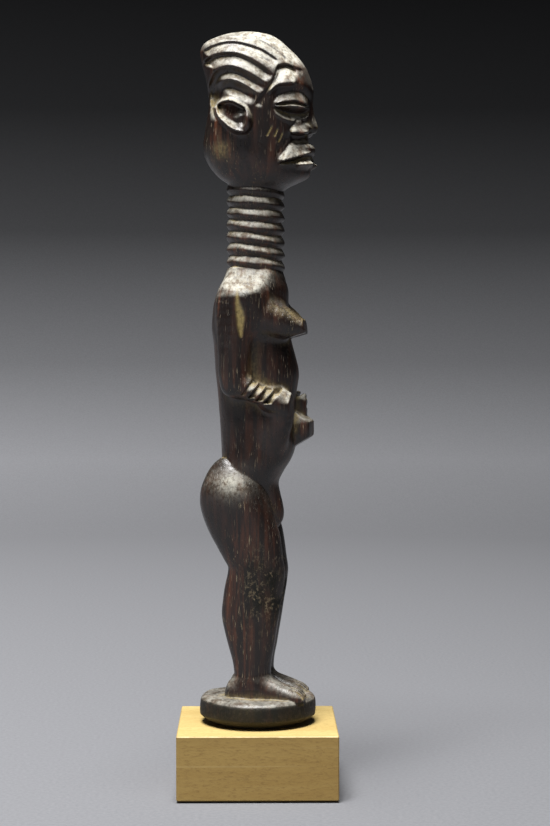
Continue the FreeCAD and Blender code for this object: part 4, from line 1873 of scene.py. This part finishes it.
@dataclass
class Patina:
    """What handling, dust and damp have left on the points of the doll's skin, with painted highlight in the
    pale film on faces that look up, painted shade round the plate's rim and a painted reflection on its
    bevel.
    """

    billet: Billet
    points: Array
    normal: Array
    gouge: Gouge
    scars: tuple[Line, ...]
    view: SideView = SideView()
    # Share of the pale film, settled dust and painted highlight, by level on faces that look up.
    film_and_highlight_levels: tuple[float, ...] = (0, 12, 30, 120, 124, 134, 140, 150, 166, 171, 181, 183, 222, 226)
    film_and_highlight_shares: tuple[float, ...] = (
        0.40, 0.45, 0.15, 0.15, 0.8, 0.8, 0.15, 0.05, 0.05, 0.85, 0.85, 0.9, 0.9, 0.95,
    )
    # Painted highlight on the thighs.
    thigh_highlight: Spot = Spot((-9.0, 97.0), (7.0, 5.5), 0.95, 2)
    # Spots where the pale film and its painted highlight are thinned.
    film_gaps: tuple[Spot, ...] = (
        Spot((17.6, 258.5), (2.6, 5.5), 0.75),
        Spot((-6.0, 241.0), (3.6, 4.6), 0.7),
        Spot((-23.6, 266.0), (3.4, 9.0), 0.7),
        Spot((10.6, 174.0), (6.0, 9.0), 0.9),
        Spot((11.0, 199.0), (5.0, 18.0), 0.6),
    )
    nape: Spot = Spot((-15.0, 231.0), (4.0, 5.0), 0.6, 2)
    cracks: Place = (1.2, 2.6)
    shelter: Place = (4.5, 7.0)
    bust_level: float = 162.0
    bust_reach: float = 11.0
    bust_dust: float = 0.7
    # Painted reflection of the pale block on the plate's bevel.
    bevel_reflection: float = 0.4
    knee_level: float = 55.0
    knee_reach: float = 13.0
    # Painted shade round the plate's rim.
    rim_shade: float = 0.75
    rim_top: float = 10.5
    plate_top: float = 12.0
    bevel_top: float = 4.4

    def __post_init__(self) -> None:
        """Work out what several layers share."""
        self.level, self.facing = self.points[:, 2], self.normal[:, 2]
        self.s, self.seen = self.view.place(*self.points.T)
        self.upturned = np.clip((self.facing - 0.15) / 0.45, 0, 1)
        lumps = np.clip(value_noise(self.points, (3.5, 3.5, 6.0), 11) * 1.2 + 0.6, 0, 1)
        self.patchy = np.where(self.level < self.plate_top, 1.0, lumps)

    def write(self, mesh: bpy.types.Mesh) -> None:
        """Write the four layers on a mesh with the same points.

        Args:
            mesh: the mesh.
        """
        layers = {"dust_and_bevel_reflection": self.dust_and_bevel_reflection(), "settled_and_highlight": self.film_and_highlight(), "worn": self.worn(), "crust_and_rim_shade": self.crust_and_rim_shade()}
        for name, value in layers.items():
            layer = mesh.attributes.new(name, "FLOAT", "POINT")
            layer.data.foreach_set("value", value.astype(np.float32))

    def enclosed(self, reach: Place) -> Array:
        """How deep the points lie in hollows, judged at two distances from the skin."""
        off = [(self.billet.read(self.points + self.normal * r), r) for r in reach]
        return sum(np.clip(1 - gap / r, 0, 1) for gap, r in off) / len(reach)

    def dust_and_bevel_reflection(self) -> Array:
        """Find the dust in the cuts, at the nape and under the bust, and the painted reflection of the block
        along the plate's bevel.

        Returns:
            Its share at each point.
        """
        cuts = self.enclosed(self.cracks) * 1.1 + self.enclosed(self.shelter) * 0.5
        dust_and_bevel_reflection = np.clip((cuts - 0.25) * 1.5, 0, 1) * np.clip(self.facing * 1.1 + 0.35, 0, 1)
        dust_and_bevel_reflection = np.maximum(dust_and_bevel_reflection, self.nape.read(self.s, self.seen) * self.patchy)
        # Painted reflection of the pale block on the plate's bevel.
        bevel = np.clip((self.bevel_top - self.level) / 2, 0, 1) * (self.facing < 0.3)
        dust_and_bevel_reflection = np.maximum(dust_and_bevel_reflection, self.bevel_reflection * bevel)
        bust = self.upturned * np.clip(1 - np.abs(self.level - self.bust_level) / self.bust_reach, 0, 1)
        bust = bust * np.clip((self.points[:, 0] - 2) / 5, 0, 1)
        return np.maximum(dust_and_bevel_reflection, self.bust_dust * bust * self.patchy)

    def film_and_highlight(self) -> Array:
        """Find the pale film on faces that look up: partly settled dust and partly painted highlight, with a
        painted highlight on the thighs, thinner at a few given spots.

        Returns:
            Its share at each point.
        """
        film_and_highlight = self.upturned * np.interp(self.level, self.film_and_highlight_levels, self.film_and_highlight_shares)
        # Painted highlight on the thighs, on faces that look up or out.
        thigh_highlight = self.thigh_highlight.read(self.points[:, 0], self.level)
        film_and_highlight = np.maximum(film_and_highlight, thigh_highlight * np.clip(self.facing * 1.5 + 0.45, 0, 1))
        for spot in self.film_gaps:
            film_and_highlight = film_and_highlight * (1 - spot.read(self.s, self.seen))
        return film_and_highlight

    def worn(self) -> Array:
        """Find the pale wood laid bare in the gouge and the cheek scars.

        Returns:
            Its share at each point.
        """
        gouge = self.within(self.gouge.drawn(1.0, 1.4), (-7.0, 164.0), (4.8, 13.0)) * (self.points[:, 1] < -8)
        scars = Relief((0.0, 228.0), (14.0, 244.0), 0.1)
        for scar in self.scars:
            scars.stroke(scar, 0.45, 1.4)
        return np.maximum(gouge, self.within(scars, (6.6, 236.0), (5.5, 6.0)))

    def within(self, relief: Relief, middle: Place, reach: Place) -> Array:
        """Heights of a relief between 0 and 1, only near the middle of what is drawn."""
        near = (np.abs(self.s - middle[0]) < reach[0]) * (np.abs(self.seen - middle[1]) < reach[1])
        return np.clip(relief.read(self.s, self.seen), 0, 1) * near

    def crust_and_rim_shade(self) -> Array:
        """Find the dark crust over the knees, and the painted shade round the plate's rim.

        Returns:
            Its share at each point.
        """
        knees = np.exp(-(((self.level - self.knee_level) / self.knee_reach) ** 2))
        knees = knees * np.clip((self.points[:, 0] + 6) / 9, 0, 1)
        # Painted shade on the plate's side faces.
        rim = (self.level < self.rim_top) * (self.facing < 0.5)
        return np.maximum(knees, self.rim_shade * rim) * self.patchy


@dataclass(frozen=True)
class CarvedDoll:
    """The doll in one piece, carved from one billet."""

    cell: float
    faces: int
    turn: float = math.radians(-10)
    pin_bore: float = 2.04
    bore_depth: float = 8.3
    trunk: Trunk = Trunk()
    legs: Legs = Legs()
    plate: FootPlate = FootPlate()
    arms: Arms = Arms()
    neck: RingedNeck = RingedNeck()
    head: Head = Head()
    gouge: Gouge = Gouge()

    def carve(self) -> Billet:
        """Carve every mass in turn and drill the bore for the pin.

        Returns:
            The carved billet.
        """
        billet = Billet((-25.6, -24.8, -1.2), (25.6, 24.8, 278.6), self.cell)
        for mass in (self.trunk, self.legs, self.plate, self.arms, self.neck, self.head, self.gouge):
            mass.carve(billet)
            LOG.info("carved %s", type(mass).__name__)
        bore = drum(self.pin_bore, -np.inf, self.bore_depth)
        billet.cut(bore, (-4, -4, -1.2), (4, 4, self.bore_depth + 2), 0.1)
        return billet

    def make(self, lift: float) -> bpy.types.Object:
        """Carve the doll and skin it.

        Args:
            lift: height of the block's top in millimetres.

        Returns:
            The doll, in place.
        """
        billet = self.carve()
        points, quads = billet.skin()
        LOG.info("skinned with %d faces", len(quads))
        rough = self.to_mesh("billet_skin", billet.settle(points, 3), quads)
        mesh = self.thin(rough, len(quads) * 2)
        points = np.empty(len(mesh.vertices) * 3, dtype=np.float32)
        mesh.vertices.foreach_get("co", points)
        points = billet.settle(points.reshape(-1, 3), 2)
        normal = billet.outward(points)
        Patina(billet, points, normal, self.gouge, self.head.scars).write(mesh)
        points = points + normal * self.tool_marks(points)[:, None]
        mesh.vertices.foreach_set("co", self.place(points, lift).ravel())
        mesh.polygons.foreach_set("use_smooth", np.ones(len(mesh.polygons), dtype=bool))
        mesh.update()
        doll = bpy.data.objects.new("carved_doll", mesh)
        bpy.context.scene.collection.objects.link(doll)
        mesh.materials.append(OiledHardwood().make())
        return doll

    @staticmethod
    def to_mesh(name: str, points: Array, faces: Array) -> bpy.types.Mesh:
        """Make a mesh.

        Args:
            name: the mesh's name.
            points: rows of coordinates.
            faces: rows of four point numbers.

        Returns:
            The mesh.
        """
        mesh = bpy.data.meshes.new(name)
        mesh.vertices.add(len(points))
        mesh.vertices.foreach_set("co", points.astype(np.float32).ravel())
        mesh.loops.add(faces.size)
        mesh.loops.foreach_set("vertex_index", faces.astype(np.int32).ravel())
        mesh.polygons.add(len(faces))
        mesh.polygons.foreach_set("loop_start", np.arange(0, faces.size, 4, dtype=np.int32))
        mesh.update(calc_edges=True)
        mesh.validate()
        return mesh

    def thin(self, mesh: bpy.types.Mesh, triangles: int) -> bpy.types.Mesh:
        """Merge faces where the surface is smooth.

        Args:
            mesh: the mesh.
            triangles: how many triangles it has.

        Returns:
            A mesh with no more than the wanted number.
        """
        if triangles <= self.faces:
            return mesh
        holder = bpy.data.objects.new("billet_skin", mesh)
        bpy.context.scene.collection.objects.link(holder)
        reducer = holder.modifiers.new("thin", "DECIMATE")
        reducer.ratio = self.faces / triangles
        seen = holder.evaluated_get(bpy.context.evaluated_depsgraph_get())
        thinned = bpy.data.meshes.new_from_object(seen)
        bpy.data.objects.remove(holder)
        thinned.name = "carved_doll"
        return thinned

    @staticmethod
    def tool_marks(points: Array) -> Array:
        """Slight unevenness left by the knife, in millimetres."""
        broad, facet = value_noise(points, (7.0, 7.0, 11.0), 3), value_noise(points, (2.6, 2.6, 4.2), 5)
        return 0.13 * broad + 0.07 * facet

    def place(self, points: Array, lift: float) -> Array:
        """Turn and lift points into the part's frame, in metres."""
        matrix = np.asarray(Matrix.Rotation(self.turn, 3, "Z"), dtype=np.float32)
        return ((points @ matrix.T + np.array([0, 0, lift], dtype=np.float32)) * MM).astype(np.float32)


@dataclass(frozen=True)
class Mount:
    """The display block with its pin and felt pads, which keep the CAD shapes."""

    block: str = "display_block"
    pin: str = "mounting_pin"
    pads: tuple[str, ...] = (
        "felt_pad_front_right", "felt_pad_front_left", "felt_pad_back_right", "felt_pad_back_left",
    )

    def dress(self) -> None:
        """Give each carried-over node its finish."""
        felt = PressedFelt().make()
        finishes = {self.block: PaleBlockWood().make(), self.pin: DrawnSteel().make()}
        for name, material in {**finishes, **dict.fromkeys(self.pads, felt)}.items():
            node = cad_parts[name]
            node.data.materials.clear()
            node.data.materials.append(material)
            LOG.info("dressed %s", name)


@dataclass(frozen=True)
class Studio:
    """A round pale sweep, a large overhead lamp, a weak fill and the camera."""

    eye_back: float = 0.760
    eye_up: float = 0.1564
    eye_across: float = -0.0023
    pitch: float = math.radians(90 - 2.293)
    yaw: float = math.radians(-0.68)
    lens: float = 85.81
    floor_radius: float = 1.0
    bend_radius: float = 0.9
    bend_steps: int = 18
    wall_top: float = 2.8
    sides: int = 96
    aim: Point = (0.0, 0.0, 0.15)
    haze: tuple[float, ...] = (0.5, 0.51, 0.53, 1.0)
    haze_strength: float = 0.02

    def build(self) -> None:
        """Set up the floor, the lamps and the camera."""
        self.lay_floor()
        self.hang_lamp("overhead", (-0.22, -0.50, 2.16), (0.85, 1.45), 148.0)
        self.hang_lamp("front_fill", (0.35, -1.3, 0.8), (0.9, 0.9), 0.25)
        world = bpy.data.worlds.new("studio")
        world.use_nodes = True
        background = world.node_tree.nodes["Background"]
        background.inputs["Color"].default_value = self.haze
        background.inputs["Strength"].default_value = self.haze_strength
        bpy.context.scene.world = world
        bpy.context.scene.view_settings.view_transform = "Standard"
        self.set_camera()
        LOG.info("studio set up")

    def lay_floor(self) -> None:
        """A round floor that curves up into a wall, pale below, with painted shade that darkens it up the
        wall and towards +X.
        """
        profile = [(self.floor_radius * 0.5, 0.0), (self.floor_radius, 0.0)]
        for step in range(1, self.bend_steps + 1):
            angle = math.radians(90 * step / self.bend_steps)
            out = self.floor_radius + self.bend_radius * math.sin(angle)
            profile.append((out, self.bend_radius * (1 - math.cos(angle))))
        profile.append((self.floor_radius + self.bend_radius, self.wall_top))
        turns = [2 * math.pi * number / self.sides for number in range(self.sides)]
        points = [(r * math.cos(turn), r * math.sin(turn), z) for r, z in profile for turn in turns]
        points.append((0.0, 0.0, 0.0))
        pairs = [(number, (number + 1) % self.sides) for number in range(self.sides)]
        faces = [(len(points) - 1, a, b) for a, b in pairs]
        for inner in range(0, self.sides * (len(profile) - 1), self.sides):
            outer = inner + self.sides
            faces += [(inner + a, outer + a, outer + b, inner + b) for a, b in pairs]
        mesh = bpy.data.meshes.new("sweep")
        mesh.from_pydata(points, [], faces)
        mesh.polygons.foreach_set("use_smooth", [True] * len(faces))
        sweep = bpy.data.objects.new("sweep", mesh)
        bpy.context.scene.collection.objects.link(sweep)
        mesh.materials.append(PaperWithPaintedShade().make())

    def hang_lamp(self, name: str, place: Point, size: Place, power: float) -> None:
        """Hang a rectangular soft lamp that points at the doll.

        Args:
            name: the lamp's name.
            place: where it hangs.
            size: its width and height.
            power: its power in watts.
        """
        light = bpy.data.lights.new(name, "AREA")
        light.shape = "RECTANGLE"
        light.size, light.size_y = size
        light.energy = power
        lamp = bpy.data.objects.new(name, light)
        lamp.location = place
        lamp.rotation_euler = (Vector(self.aim) - Vector(place)).to_track_quat("-Z", "Y").to_euler()
        bpy.context.scene.collection.objects.link(lamp)

    def set_camera(self) -> None:
        """Stand the camera in front of the block, just right of square on, looking slightly down."""
        low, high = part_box("display_block")
        camera_data = bpy.data.cameras.new("camera")
        camera_data.lens = self.lens
        camera_data.sensor_width = 36.0
        camera = bpy.data.objects.new("camera", camera_data)
        middle = (low[0] + high[0]) / 2
        camera.location = (middle + self.eye_across, low[1] - self.eye_back, high[2] + self.eye_up)
        camera.rotation_euler = (self.pitch, 0.0, self.yaw)
        bpy.context.scene.collection.objects.link(camera)
        bpy.context.scene.camera = camera


def main() -> None:
    """Build the doll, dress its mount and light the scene."""
    logging.basicConfig(level=logging.INFO, format="%(name)s: %(message)s")
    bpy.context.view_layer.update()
    Mount().dress()
    block_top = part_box("display_block")[1][2] / MM
    doll = CarvedDoll(cell=0.4, faces=190000).make(block_top)
    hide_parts("carved_figure")
    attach(doll, "figure")
    LOG.info("carved doll placed")
    Studio().build()
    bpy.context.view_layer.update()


if __name__ == "__main__":
    main()
